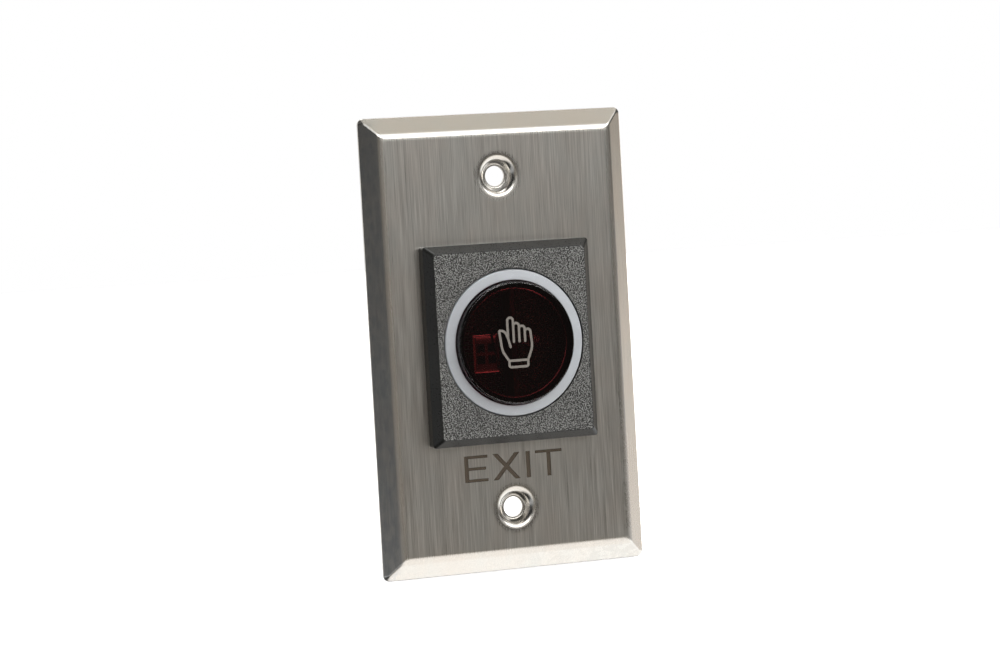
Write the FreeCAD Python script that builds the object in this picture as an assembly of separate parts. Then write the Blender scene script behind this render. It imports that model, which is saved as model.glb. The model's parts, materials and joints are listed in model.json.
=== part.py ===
import FreeCAD, Part
import math
import os

# Touch-free door exit button on a single wall plate, in millimetres.
# The wall is the plane y = 0, the front faces -Y and Z points up.
# The origin is the centre of the plate on the wall.

# Wall plate
plate_width = 70.0
plate_height = 115.0
plate_depth = 3.7
sheet = 0.8
rim_lip = 0.5
bevel_run = 4.7
bend_radius = 3.9
rim_corner_radius = 1.6
screw_spacing = 83.3
screw_hole_radius = 2.5
dimple_radius = 5.15
dimple_depth = 2.2
dimple_shoulder = 1.7
dimple_slope = 62.0
dimple_floor_radius = 0.35
dimple_land = 1.2
cut_margin = 1.0

# Word cut into the plate under the module
word_height = 6.65
word_gap = 2.775
word_depth = 0.12
stroke_upright = 1.1
stroke_level = 0.75
stroke_slant = 0.95
letter_e = (-13.2, -6.95)
letter_e_middle = 5.75
letter_x = (-5.65, 1.65)
letter_i = 3.3
letter_t = (5.8, 13.0)

# Bezel
bezel_face_land = 1.65
bezel_extra_height = 6.0
bezel_corner_radius = 0.8
bezel_side = 2.9
bezel_chamfer_width = 1.9
bezel_chamfer_depth = 2.4
bezel_edge_radius = 0.25
bezel_face_wall = 2.2
sleeve_inset = 2.0
sleeve_corner_radius = 7.0
sleeve_wall = 1.0
cutout_clearance = 0.25

# Light ring and window
ring_outer_radius = 18.3
ring_width = 2.7
ring_proud = 0.35
ring_front_wall = 1.75
ring_outer_wall = 1.1
ring_edge_radius = 0.45
ring_bore_edge_radius = 0.2
ring_bore_clearance = 0.15
ring_flange_thickness = 1.0
ring_flange_width = 1.9
ring_flange_clearance = 0.3
window_proud = 1.85
window_clearance = 0.2
window_draft = 0.2
window_edge_radius = 0.5
window_wall = 2.0
window_side_wall = 1.6
window_hollow_edge_radius = 0.5
window_flange_thickness = 1.0
window_flange_clearance = 0.2

# Hand sign printed on the window
print_thickness = 0.04
line_width = 0.62
finger_pitch = 1.5
finger_tops = (6.35, 4.95, 4.15, 3.3)
finger_foot = 0.35
first_finger_x = -2.45
thumb_tip = (-4.75, 3.35)
thumb_knuckle = (-3.2, 3.1)
thumb_root_z = 1.2
thumb_crotch = (-1.9, -0.9)
palm_left = (-4.1, -1.9)
palm_right = (3.9, -1.2)
cuff_left = -2.45
cuff_right = 2.55
cuff_top = -4.35
cuff_height = 1.6
finger_round = 0.735
thumb_root_round = 3.0
thumb_knuckle_round = 1.6
thumb_tip_round = 0.3
palm_round = 5.0
cuff_upper_round = 0.2
cuff_lower_round = 0.5

# Sensor board behind the window
board_thickness = 1.2
board_edge_clearance = 0.3
board_standoff = 0.5
baffle_wall = 1.2
baffle_clearance = 0.1
partition_wall = 1.2
partition_x = -0.9
partition_clearance = 0.3
partition_overlap = 0.5
ring_led_count = 8
ring_led_clearance = 0.325
ring_led_length = 2.0
ring_led_depth = 1.25
ring_led_thickness = 0.8
emitter_x = 6.0
emitter_z = 0.3
emitter_radius = 1.5
emitter_rim_radius = 1.9
emitter_rim_thickness = 0.8
emitter_height = 5.3
emitter_nose_radius = 1.47
lead_radius = 0.25
lead_spacing = 2.54
lead_clearance = 0.1
lead_tail = 1.0
lead_root = 0.5
receiver_lead_spacing = 2.03
shield_off_centre = 0.23
shield_z = -2.3
shield_width = 6.8
shield_height = 9.4
shield_depth = 5.2
shield_wall = 0.3
shield_cross_width = 0.8
shield_window_margin = 0.4
shield_cross_root = 0.2
receiver_clearance = 0.15
receiver_dome_radius = 1.9
receiver_dome_root = 0.5
receiver_dome_share = 0.95
receiver_depth = 3.2
chip_width = 3.9
chip_length = 9.9
chip_thickness = 1.5
chip_leg_reach = 1.05
chip_leg_width = 0.42
chip_leg_thickness = 0.25
chip_pitch = 1.27
chip_legs_per_side = 8
chip_standoff = 0.15
chip_leg_root = 0.1
chip_x = 4.0
chip_z = -6.0
small_part_length = 2.0
small_part_width = 1.25
small_part_thickness = 0.55
large_part_length = 3.2
large_part_width = 1.6
large_part_thickness = 1.1
sensor_row_pitch = 3.2
sensor_row_count = 4
sensor_row_screw_gap = 2.7
sensor_row_gap = 8.0
sensor_row_step = 3.4
sensor_pair_screw_gap = 6.7
sensor_pair_gap = 8.5
sensor_pair_step = 3.3

# Board stack
board_gap = 5.2
relay_board_thickness = 1.6
stack_edge_x = 3.5
stack_edge_z = 3.1
stack_screw_radius = 0.95
stack_head_radius = 1.9
stack_head_thickness = 1.3
stack_boss_radius = 2.3
stack_boss_root = 0.2
stack_bite = 3.0
pilot_over_depth = 0.3
screw_tip_share = 0.5
screw_head_share = 0.6
screw_recess_share = 0.62
screw_clearance = 0.25
pilot_clearance = 0.05
spacer_radius = 2.3
slot_width = 0.5
slot_depth = 0.6
header_ways = 5
header_pitch = 2.54
header_side = 2.5
header_edge = 1.7
header_pin_side = 0.6
header_pin_tail = 0.9
pin_hole_radius = 0.45

# Parts on the relay board
relay_width = 15.4
relay_height = 7.6
relay_depth = 9.8
relay_edge = 1.8
relay_gap = 1.9
relay_corner_radius = 0.4
relay_pin_x = 6.0
relay_pin_z = 2.5
component_pin_side = 0.6
component_pin_tail = 1.2
component_pin_root = 0.5
terminal_pitch = 5.0
terminal_screw_gap = 0.8
terminal_height = 7.6
terminal_depth = 10.0
terminal_edge_inset = 0.7
terminal_side_wall = 0.45
terminal_floor = 1.4
chamber_depth = 5.4
chamber_reach = 5.6
clamp_clearance = 0.12
clamp_wall = 0.6
clamp_inset = 0.6
clamp_screw_clearance = 0.08
terminal_well_clearance = 0.15
terminal_well_depth = 2.2
terminal_head_radius = 1.9
terminal_head_edge = 0.25
terminal_tip_edge = 0.3
terminal_head_thickness = 1.5
terminal_head_inset = 0.4
terminal_screw_radius = 1.2
terminal_screw_length = 3.4
capacitor_radius = 3.15
capacitor_height = 7.4
capacitor_edge = 2.95
capacitor_screw_gap = 10.0
capacitor_pin_x = 1.25
capacitor_groove = 0.25
capacitor_groove_height = 1.6
capacitor_groove_half = 0.5
capacitor_groove_round = 0.2
capacitor_foot_round = 0.3
capacitor_top_round = 0.5
diode_radius = 1.3
diode_length = 5.2
diode_standoff = 0.3
diode_lead_reach = 1.2
diode_trimmer_gap = 2.2
diode_capacitor_gap = 12.0
trimmer_side = 6.6
trimmer_height = 4.6
trimmer_gap = 4.5
trimmer_spacing = 8.8
trimmer_pin_x = 2.2
trimmer_pin_low = 1.6
trimmer_pin_high = 2.2
rotor_radius = 2.3
rotor_thickness = 1.4
rotor_proud = 0.3
rotor_clearance = 0.06
rotor_slot_width = 0.6
rotor_slot_length = 3.4
rotor_slot_depth = 0.7
rotor_cross_share = 0.6
rotor_edge_radius = 0.15
regulator_x = 5.2
regulator_gap = 4.8
regulator_width = 4.6
regulator_height = 3.4
regulator_thickness = 1.5
relay_row_pitch = 5.0
relay_row_screw_gap = 5.2
relay_row_gap = 4.0
relay_column_gap = 2.0
relay_column_drop = 3.0
relay_column_pitch = 2.5
relay_column_header_gap = 9.0

# Rear cover
cover_overhang = 3.5
cover_headroom = 0.6
cover_corner_radius = 4.0
cover_wall = 1.8
cover_edge_radius = 1.0
cover_post_radius = 3.3
cover_screw_edge = 3.7
cover_screw_radius = 1.0
cover_head_radius = 1.8
cover_head_thickness = 1.4
cover_well_clearance = 0.3
cover_seat_depth = 6.9
cover_screw_bite = 3.2
terminal_window_clearance = 0.7
trimmer_window_margin = 0.6

# Levels along Y, worked out from the sizes above
plate_front = -plate_depth
plate_rear = plate_front + sheet
bezel_shoulder = plate_front - bezel_side
bezel_face = bezel_shoulder - bezel_chamfer_depth
bezel_ceiling = bezel_face + bezel_face_wall
ring_front = bezel_face - ring_proud
ring_lip_rear = ring_front + ring_front_wall
ring_rear = bezel_ceiling + ring_flange_thickness
window_front = ring_front - window_proud
window_ceiling = window_front + window_wall
window_rear = ring_lip_rear + window_flange_thickness
sensor_board_front = plate_rear + board_standoff
sensor_board_rear = sensor_board_front + board_thickness
relay_board_front = sensor_board_rear + board_gap
relay_board_rear = relay_board_front + relay_board_thickness
tallest_part = max(relay_depth, capacitor_height, trimmer_height + rotor_proud)
cover_ceiling = relay_board_rear + tallest_part + cover_headroom
cover_rear = cover_ceiling + cover_wall
cover_seat = plate_rear + cover_seat_depth

# Widths and places that follow from the sizes above
ring_inner_radius = ring_outer_radius - ring_width
ring_flange_radius = ring_outer_radius + ring_flange_width
bezel_bore_radius = ring_outer_radius + ring_bore_clearance
bezel_width = 2 * (bezel_bore_radius + bezel_face_land + bezel_chamfer_width)
bezel_height = bezel_width + bezel_extra_height
sleeve_width = bezel_width - 2 * sleeve_inset
sleeve_height = bezel_height - 2 * sleeve_inset
word_centre_z = -(bezel_height / 2 + word_gap + word_height / 2)
cavity_width = sleeve_width - 2 * sleeve_wall
cavity_height = sleeve_height - 2 * sleeve_wall
cavity_corner_radius = sleeve_corner_radius - sleeve_wall
board_width = cavity_width - 2 * board_edge_clearance
board_height = cavity_height - 2 * board_edge_clearance
board_corner_radius = cavity_corner_radius - board_edge_clearance
window_radius = ring_inner_radius - window_clearance
ring_hollow_radius = ring_outer_radius - ring_outer_wall
window_flange_radius = ring_hollow_radius - window_flange_clearance
window_hollow_radius = window_radius - window_side_wall
baffle_outer_radius = window_flange_radius
baffle_inner_radius = baffle_outer_radius - baffle_wall
ring_led_orbit = baffle_outer_radius + ring_led_clearance + ring_led_depth / 2
shield_foot = shield_height / 2 - shield_z
baffle_reach = math.sqrt(baffle_inner_radius ** 2 - shield_foot ** 2)
shield_x = (partition_x - baffle_reach) / 2 + shield_off_centre
stack_screw_x = board_width / 2 - stack_edge_x
stack_screw_z = board_height / 2 - stack_edge_z
header_z = board_height / 2 - header_edge
terminal_room = 2 * (stack_screw_x - stack_head_radius - terminal_screw_gap)
terminal_poles = int(round(terminal_room / terminal_pitch, 6))
terminal_width = terminal_poles * terminal_pitch
terminal_low = -board_height / 2 + terminal_edge_inset
terminal_high = terminal_low + terminal_height
terminal_middle = (terminal_low + terminal_high) / 2
terminal_rear = relay_board_rear + terminal_depth
terminal_xs = [(i - (terminal_poles - 1) / 2) * terminal_pitch for i in range(terminal_poles)]
trimmer_z = terminal_high + trimmer_gap + trimmer_side / 2
relay_x = -board_width / 2 + relay_edge + relay_width / 2
relay_z = trimmer_z + trimmer_side / 2 + relay_gap + relay_height / 2
capacitor_x = board_width / 2 - capacitor_edge - capacitor_radius
capacitor_z = stack_screw_z - capacitor_screw_gap
diode_x = (trimmer_spacing + trimmer_side) / 2 + diode_trimmer_gap + diode_radius
diode_z = capacitor_z - diode_capacitor_gap
cover_width = sleeve_width + 2 * cover_overhang
cover_height = sleeve_height + 2 * cover_overhang
cover_screw_x = cover_width / 2 - cover_screw_edge
cover_screw_z = cover_height / 2 - cover_screw_edge
stack_places = [(sx * stack_screw_x, sz * stack_screw_z) for sx in (-1, 1) for sz in (-1, 1)]
cover_places = [(sx * cover_screw_x, sz * cover_screw_z) for sx in (-1, 1) for sz in (-1, 1)]
header_xs = [(i - (header_ways - 1) / 2) * header_pitch for i in range(header_ways)]
trimmer_places = {"delay": -trimmer_spacing / 2, "distance": trimmer_spacing / 2}


def vec(x, y, z):
    return FreeCAD.Vector(x, y, z)


def box(x0, x1, y0, y1, z0, z1):
    """Block between two corners."""
    return Part.makeBox(x1 - x0, y1 - y0, z1 - z0, vec(x0, y0, z0))


def rod(x, z, radius, y0, y1):
    """Cylinder along Y."""
    return Part.makeCylinder(radius, y1 - y0, vec(x, y0, z), vec(0, 1, 0))


def rounded_path(points, radii, closed=True):
    """Wire of straight runs joined by tangent arcs, one radius a point."""
    count = len(points)
    inner = range(count) if closed else range(1, count - 1)
    entries = list(points)
    exits = list(points)
    arcs = [None] * count
    for i in inner:
        if radii[i] <= 0:
            continue
        corner = points[i]
        to_last = (points[i - 1] - corner).normalize()
        to_next = (points[(i + 1) % count] - corner).normalize()
        half = to_last.getAngle(to_next) / 2
        setback = radii[i] / math.tan(half)
        entries[i] = corner + to_last * setback
        exits[i] = corner + to_next * setback
        middle = (to_last + to_next).normalize() * (radii[i] / math.sin(half) - radii[i])
        arcs[i] = Part.Arc(entries[i], corner + middle, exits[i]).toShape()
    edges = []
    for i in range(count if closed else count - 1):
        if arcs[i]:
            edges.append(arcs[i])
        after = (i + 1) % count
        if (entries[after] - exits[i]).Length > 1e-6:
            edges.append(Part.LineSegment(exits[i], entries[after]).toShape())
    return Part.Wire(edges)


def rectangle(width, height, radius, y):
    """Rounded rectangle about the Y axis."""
    w = width / 2
    h = height / 2
    points = [vec(-w, y, -h), vec(w, y, -h), vec(w, y, h), vec(-w, y, h)]
    return rounded_path(points, [radius] * 4)


def block(width, height, radius, y0, y1):
    """Rounded block about the Y axis."""
    return Part.Face(rectangle(width, height, radius, y0)).extrude(vec(0, y1 - y0, 0))


def turned(profile, radii, x=0.0, z=0.0):
    """Body turned about an axis along Y, from points of radius and y."""
    wire = rounded_path([vec(r, y, 0) for r, y in profile], radii)
    solid = Part.Face(wire).revolve(vec(0, 0, 0), vec(0, 1, 0), 360)
    solid.translate(vec(x, 0, z))
    return solid


def polygon(points, y0, y1):
    """Straight-sided prism along Y, from points of x and z."""
    corners = [vec(x, y0, z) for x, z in points]
    return Part.Face(Part.makePolygon(corners + corners[:1])).extrude(vec(0, y1 - y0, 0))


def joined(shapes):
    """One solid out of shapes that meet."""
    return shapes[0].multiFuse(shapes[1:]).removeSplitter()


def cut_all(shape, tools):
    """A shape less many tools."""
    return shape.cut(Part.makeCompound(tools))


def edges_at(shape, y):
    """Edges that lie in the plane of one y."""
    flat = []
    for edge in shape.Edges:
        bound = edge.BoundBox
        if abs(bound.YMin - y) < 1e-4 and abs(bound.YMax - y) < 1e-4:
            flat.append(edge)
    return flat


def pan(inset, front):
    """Solid tray form: upright lip, bevelled sides and a flat front."""
    lip_front = -rim_lip
    slope = math.hypot(bevel_run, plate_depth - rim_lip) / (plate_depth - rim_lip)
    shrink = 2 * inset * slope
    run = 2 * bevel_run * (lip_front - front) / (plate_depth - rim_lip)
    wide = plate_width - shrink
    tall = plate_height - shrink
    radius = rim_corner_radius
    low = rectangle(wide, tall, radius, 0)
    edge = rectangle(wide, tall, radius, lip_front)
    top = rectangle(wide - run, tall - run, radius, front)
    lip = Part.makeLoft([low, edge], True, True)
    bevel = Part.makeLoft([edge, top], True, True)
    body = joined([lip, bevel])
    return body.makeFillet(bend_radius - inset, edges_at(body, front))


def dimple(z):
    """Pressed screw seat, one sheet thick: round shoulder, steep wall and a floor ring at the hole."""
    outer = dimple_radius + dimple_land
    floor = plate_front + dimple_depth
    slope = math.radians(dimple_slope)
    reach = math.tan(slope / 2)
    shoulder = dimple_radius - dimple_shoulder * reach
    foot = shoulder - dimple_depth / math.tan(slope)
    profile = [
        (outer, plate_front),
        (shoulder, plate_front),
        (foot, floor),
        (screw_hole_radius, floor),
        (screw_hole_radius, floor + sheet),
        (foot + sheet * reach, floor + sheet),
        (shoulder + sheet * reach, plate_rear),
        (outer, plate_rear),
    ]
    radii = [0, dimple_shoulder, dimple_floor_radius, 0, 0, dimple_floor_radius + sheet,
             dimple_shoulder - sheet, 0]
    return turned(profile, radii, z=z)


def word_cutters():
    """Strokes of the word, as deep as the cut."""
    deep = plate_front + word_depth
    shallow = plate_front - cut_margin
    low = word_centre_z - word_height / 2
    high = word_centre_z + word_height / 2
    half_level = stroke_level / 2
    bars = [
        (letter_e[0], letter_e[0] + stroke_upright, low, high),
        (letter_e[0], letter_e[1], high - stroke_level, high),
        (letter_e[0], letter_e[0] + letter_e_middle, word_centre_z - half_level,
         word_centre_z + half_level),
        (letter_e[0], letter_e[1], low, low + stroke_level),
        (letter_i, letter_i + stroke_upright, low, high),
        (letter_t[0], letter_t[1], high - stroke_level, high),
    ]
    stem = (letter_t[0] + letter_t[1] - stroke_upright) / 2
    bars.append((stem, stem + stroke_upright, low, high))
    cutters = [box(x0, x1, shallow, deep, z0, z1) for x0, x1, z0, z1 in bars]
    left, right = letter_x
    foot = stroke_slant * math.hypot(right - left, word_height) / word_height
    rising = [(left, low), (left + foot, low), (right, high), (right - foot, high)]
    falling = [(left, high), (left + foot, high), (right, low), (right - foot, low)]
    cutters.append(polygon(rising, shallow, deep))
    cutters.append(polygon(falling, shallow, deep))
    return cutters


def wall_plate():
    """Pressed sheet plate with its cut-out, screw seats and word."""
    plate = pan(0, plate_front).cut(pan(sheet, plate_rear))
    opening = block(sleeve_width + 2 * cutout_clearance, sleeve_height + 2 * cutout_clearance,
                    sleeve_corner_radius + cutout_clearance, plate_front - cut_margin, cut_margin)
    holes = [rod(x, z, cover_screw_radius + screw_clearance, plate_front - cut_margin, cut_margin)
             for x, z in cover_places]
    seats = [rod(0, side * screw_spacing / 2, dimple_radius + dimple_land, plate_front - cut_margin,
                 cut_margin) for side in (-1, 1)]
    plate = cut_all(plate, [opening] + holes + seats)
    plate = joined([plate] + [dimple(side * screw_spacing / 2) for side in (-1, 1)])
    return cut_all(plate, word_cutters())


def bezel():
    """Square moulded frame with a round opening and a sleeve behind."""
    side = block(bezel_width, bezel_height, bezel_corner_radius, bezel_shoulder, plate_front)
    face_width = bezel_width - 2 * bezel_chamfer_width
    face_height = bezel_height - 2 * bezel_chamfer_width
    shoulder = rectangle(bezel_width, bezel_height, bezel_corner_radius, bezel_shoulder)
    face = rectangle(face_width, face_height, bezel_corner_radius, bezel_face)
    front = Part.makeLoft([shoulder, face], True, True)
    sleeve = block(sleeve_width, sleeve_height, sleeve_corner_radius, bezel_shoulder, plate_rear)
    body = joined([side, front, sleeve])
    body = body.makeFillet(bezel_edge_radius, edges_at(body, bezel_face) + edges_at(body, bezel_shoulder))
    cavity = block(cavity_width, cavity_height, cavity_corner_radius, bezel_ceiling, plate_rear + cut_margin)
    bore = rod(0, 0, bezel_bore_radius, bezel_face - cut_margin, bezel_ceiling + cut_margin)
    body = cut_all(body, [cavity, bore])
    bosses = [rod(x, z, stack_boss_radius, bezel_ceiling - stack_boss_root, sensor_board_front)
              for x, z in stack_places]
    body = joined([body] + bosses)
    stack_depth = stack_bite + pilot_over_depth
    cover_depth = cover_screw_bite + pilot_over_depth
    pilots = [rod(x, z, stack_screw_radius + pilot_clearance, sensor_board_front - stack_depth,
                  sensor_board_front) for x, z in stack_places]
    pilots += [rod(x, z, cover_screw_radius + pilot_clearance, plate_front - cover_depth,
                   plate_rear) for x, z in cover_places]
    return cut_all(body, pilots)


def light_ring():
    """Milky ring with a rear flange that has two flats."""
    profile = [
        (ring_inner_radius, ring_front),
        (ring_outer_radius, ring_front),
        (ring_outer_radius, bezel_ceiling),
        (ring_flange_radius, bezel_ceiling),
        (ring_flange_radius, ring_rear),
        (ring_hollow_radius, ring_rear),
        (ring_hollow_radius, ring_lip_rear),
        (ring_inner_radius, ring_lip_rear),
    ]
    ring = turned(profile, [ring_bore_edge_radius, ring_edge_radius, 0, 0, 0, 0, 0, 0])
    flat = cavity_width / 2 - ring_flange_clearance
    reach = ring_flange_radius + cut_margin
    keep = box(-flat, flat, ring_front - cut_margin, ring_rear + cut_margin, -reach, reach)
    return ring.common(keep)


def sensor_window():
    """Dark raised cap that the sensor looks through."""
    tip_radius = window_radius - window_draft
    profile = [
        (0, window_front),
        (tip_radius, window_front),
        (window_radius, ring_front),
        (window_radius, ring_lip_rear),
        (window_flange_radius, ring_lip_rear),
        (window_flange_radius, window_rear),
        (window_hollow_radius, window_rear),
        (window_hollow_radius, window_ceiling),
        (0, window_ceiling),
    ]
    return turned(profile, [0, window_edge_radius, 0, 0, 0, 0, 0, window_hollow_edge_radius, 0])


def stroke(points, radii):
    """Printed line of even width with round ends, along a path of x and z."""
    base = window_front - print_thickness
    path = rounded_path([vec(x, base, z) for x, z in points], radii, closed=False)
    pieces = []
    half = line_width / 2
    for edge in path.Edges:
        start = edge.valueAt(edge.FirstParameter)
        end = edge.valueAt(edge.LastParameter)
        pieces.append(rod(start.x, start.z, half, base, window_front))
        pieces.append(rod(end.x, end.z, half, base, window_front))
        if isinstance(edge.Curve, Part.Circle):
            centre = edge.Curve.Center
            ring = rod(centre.x, centre.z, edge.Curve.Radius + half, base, window_front)
            if edge.Curve.Radius > half:
                ring = ring.cut(rod(centre.x, centre.z, edge.Curve.Radius - half, base, window_front))
            middle = edge.valueAt((edge.FirstParameter + edge.LastParameter) / 2)
            corners = [centre + (p - centre) * 4 for p in (start, middle, end)]
            wedge = polygon([(p.x, p.z) for p in [centre] + corners], base, window_front)
            pieces.append(ring.common(wedge))
        else:
            side = (end - start).normalize().cross(vec(0, 1, 0)) * half
            corners = [start + side, end + side, end - side, start - side]
            pieces.append(polygon([(p.x, p.z) for p in corners], base, window_front))
    return joined(pieces)


def hand_symbol():
    """Plain raised hand in outline over a cuff."""
    lefts = [first_finger_x + i * finger_pitch for i in range(len(finger_tops))]
    lines = []
    for left, top in zip(lefts, finger_tops):
        right = left + finger_pitch
        shoulder = top - finger_round
        arch = [(left, shoulder), (left, top), (right, top), (right, shoulder)]
        lines.append((arch, [0, finger_round, finger_round, 0]))
    for left, top in zip(lefts[1:], finger_tops):
        lines.append(([(left, top - finger_round), (left, finger_foot)], [0, 0]))
    root = (lefts[0], thumb_root_z)
    lines.append(([(lefts[0], finger_tops[0] - finger_round), root, thumb_crotch], [0, thumb_root_round, 0]))
    thumb = [root, thumb_knuckle, thumb_tip, palm_left, (cuff_left, cuff_top)]
    lines.append((thumb, [0, thumb_knuckle_round, thumb_tip_round, palm_round, 0]))
    outer = lefts[-1] + finger_pitch
    palm = [(outer, finger_tops[-1] - finger_round), palm_right, (cuff_right, cuff_top)]
    lines.append((palm, [0, palm_round, 0]))
    low = cuff_top - cuff_height
    cuff = [(0, cuff_top), (cuff_left, cuff_top), (cuff_left, low), (cuff_right, low),
            (cuff_right, cuff_top), (0, cuff_top)]
    lines.append((cuff, [0, cuff_upper_round, cuff_lower_round, cuff_lower_round, cuff_upper_round, 0]))
    return joined([stroke(points, radii) for points, radii in lines])


def light_baffle():
    """Black tube and partition that part the two sensor eyes."""
    outer = rod(0, 0, baffle_outer_radius, window_rear, sensor_board_front)
    inner = rod(0, 0, baffle_inner_radius, window_rear - cut_margin, sensor_board_front + cut_margin)
    tube = outer.cut(inner)
    reach = baffle_inner_radius + baffle_wall / 2
    wall = box(partition_x, partition_x + partition_wall, window_rear, sensor_board_front, -reach, reach)
    tongue_reach = window_hollow_radius - partition_clearance
    tongue = box(partition_x, partition_x + partition_wall, window_ceiling + partition_clearance,
                 window_rear + partition_overlap, -tongue_reach, tongue_reach)
    round_tongue = tongue.common(rod(0, 0, tongue_reach, window_ceiling, window_rear + cut_margin))
    return joined([tube, wall.common(outer), round_tongue])


def emitter_leads():
    return [(emitter_x + side * lead_spacing / 2, emitter_z) for side in (-1, 1)]


def receiver_leads():
    return [(shield_x + i * receiver_lead_spacing, shield_z) for i in (-1, 0, 1)]


def sensor_board():
    """Front circuit board, held on the bezel's bosses."""
    board = block(board_width, board_height, board_corner_radius, sensor_board_front, sensor_board_rear)
    holes = [(x, z, stack_screw_radius + screw_clearance) for x, z in stack_places]
    holes += [(x, z, lead_radius + lead_clearance) for x, z in emitter_leads() + receiver_leads()]
    holes += [(x, header_z, pin_hole_radius) for x in header_xs]
    cutters = [rod(x, z, r, sensor_board_front - cut_margin, sensor_board_rear + cut_margin)
               for x, z, r in holes]
    return cut_all(board, cutters)


def ir_emitter():
    """Round-nosed infrared lamp with two leads."""
    tip = sensor_board_front - emitter_height
    rim = sensor_board_front - emitter_rim_thickness
    profile = [(0, tip), (emitter_radius, tip), (emitter_radius, rim), (emitter_rim_radius, rim),
               (emitter_rim_radius, sensor_board_front), (0, sensor_board_front)]
    body = turned(profile, [0, emitter_nose_radius, 0, 0, 0, 0], x=emitter_x, z=emitter_z)
    leads = [rod(x, z, lead_radius, sensor_board_front - lead_root, sensor_board_rear + lead_tail)
             for x, z in emitter_leads()]
    return joined([body] + leads)


def receiver_shield():
    """Folded tin screen with a cross in its front window."""
    half_w = shield_width / 2
    half_h = shield_height / 2
    front = sensor_board_front - shield_depth
    shell = box(shield_x - half_w, shield_x + half_w, front, sensor_board_front,
                shield_z - half_h, shield_z + half_h)
    hollow = box(shield_x - half_w + shield_wall, shield_x + half_w - shield_wall,
                 front + shield_wall, sensor_board_front + cut_margin,
                 shield_z - half_h + shield_wall, shield_z + half_h - shield_wall)
    window_side = receiver_dome_radius + shield_window_margin
    window = box(shield_x - window_side, shield_x + window_side, front - cut_margin, front + shield_wall,
                 shield_z - window_side, shield_z + window_side)
    bar = shield_cross_width / 2
    arm = window_side + shield_cross_root
    cross = [box(shield_x - bar, shield_x + bar, front, front + shield_wall, shield_z - arm, shield_z + arm),
             box(shield_x - arm, shield_x + arm, front, front + shield_wall, shield_z - bar, shield_z + bar)]
    return joined([cut_all(shell, [hollow, window])] + cross)


def ir_receiver():
    """Sensor block with a dome, inside the tin screen."""
    half_w = shield_width / 2 - shield_wall - receiver_clearance
    half_h = shield_height / 2 - shield_wall - receiver_clearance
    base = sensor_board_front - receiver_depth
    body = box(shield_x - half_w, shield_x + half_w, base, sensor_board_front,
               shield_z - half_h, shield_z + half_h)
    rise = shield_depth - receiver_depth - shield_wall - receiver_clearance
    root = base + receiver_dome_root
    profile = [(0, base - rise), (receiver_dome_radius, base - rise), (receiver_dome_radius, root), (0, root)]
    dome = turned(profile, [0, rise * receiver_dome_share, 0, 0], x=shield_x, z=shield_z)
    leads = [rod(x, z, lead_radius, sensor_board_front - lead_root, sensor_board_rear + lead_tail)
             for x, z in receiver_leads()]
    return joined([body, dome] + leads)


def ring_leds():
    """Small lamps that light the ring, evenly round the board."""
    lamps = []
    for i in range(ring_led_count):
        inner = ring_led_orbit - ring_led_depth / 2
        lamp = box(inner, inner + ring_led_depth, sensor_board_front - ring_led_thickness,
                   sensor_board_front, -ring_led_length / 2, ring_led_length / 2)
        lamp.rotate(vec(0, 0, 0), vec(0, 1, 0), (i + 0.5) * 360 / ring_led_count)
        lamps.append(lamp)
    return Part.makeCompound(lamps)


def controller_chip():
    """Flat chip with bent legs, on the rear of the sensor board."""
    low = sensor_board_rear + chip_standoff
    body = box(chip_x - chip_width / 2, chip_x + chip_width / 2, low, low + chip_thickness,
               chip_z - chip_length / 2, chip_z + chip_length / 2)
    legs = []
    knee = low + chip_thickness / 2
    for i in range(chip_legs_per_side):
        z = chip_z + (i - (chip_legs_per_side - 1) / 2) * chip_pitch
        z0 = z - chip_leg_width / 2
        z1 = z + chip_leg_width / 2
        for side in (-1, 1):
            edge = chip_x + side * (chip_width / 2 - chip_leg_root)
            bend = edge + side * (chip_leg_root + chip_leg_reach / 2)
            foot = edge + side * (chip_leg_root + chip_leg_reach)
            arm = sorted((edge, bend))
            shin = sorted((bend, bend - side * chip_leg_thickness))
            toe = sorted((bend - side * chip_leg_thickness, foot))
            legs.append(box(arm[0], arm[1], knee, knee + chip_leg_thickness, z0, z1))
            legs.append(box(shin[0], shin[1], sensor_board_rear, knee + chip_leg_thickness, z0, z1))
            top = sensor_board_rear + chip_leg_thickness
            legs.append(box(toe[0], toe[1], sensor_board_rear, top, z0, z1))
    return joined([body] + legs)


def small_parts(places, base, direction):
    """Group of small flat parts: x, z, width, height and thickness of each."""
    pieces = []
    for x, z, width, height, thick in places:
        ends = sorted((base, base + direction * thick))
        pieces.append(box(x - width / 2, x + width / 2, ends[0], ends[1], z - height / 2, z + height / 2))
    return Part.makeCompound(pieces)


def sensor_board_parts():
    """Resistors and capacitors on the rear of the sensor board."""
    rows = []
    row_z = header_z - sensor_row_gap
    for i in range(sensor_row_count):
        x = -stack_screw_x + sensor_row_screw_gap + i * sensor_row_pitch
        rows.append((x, row_z, small_part_length, small_part_width, small_part_thickness))
        rows.append((x, row_z - sensor_row_step, small_part_width, small_part_length, small_part_thickness))
    pair_x = stack_screw_x - sensor_pair_screw_gap
    for i in range(2):
        z = header_z - sensor_pair_gap - i * sensor_pair_step
        rows.append((pair_x, z, large_part_length, large_part_width, large_part_thickness))
    return small_parts(rows, sensor_board_rear, 1)


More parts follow.
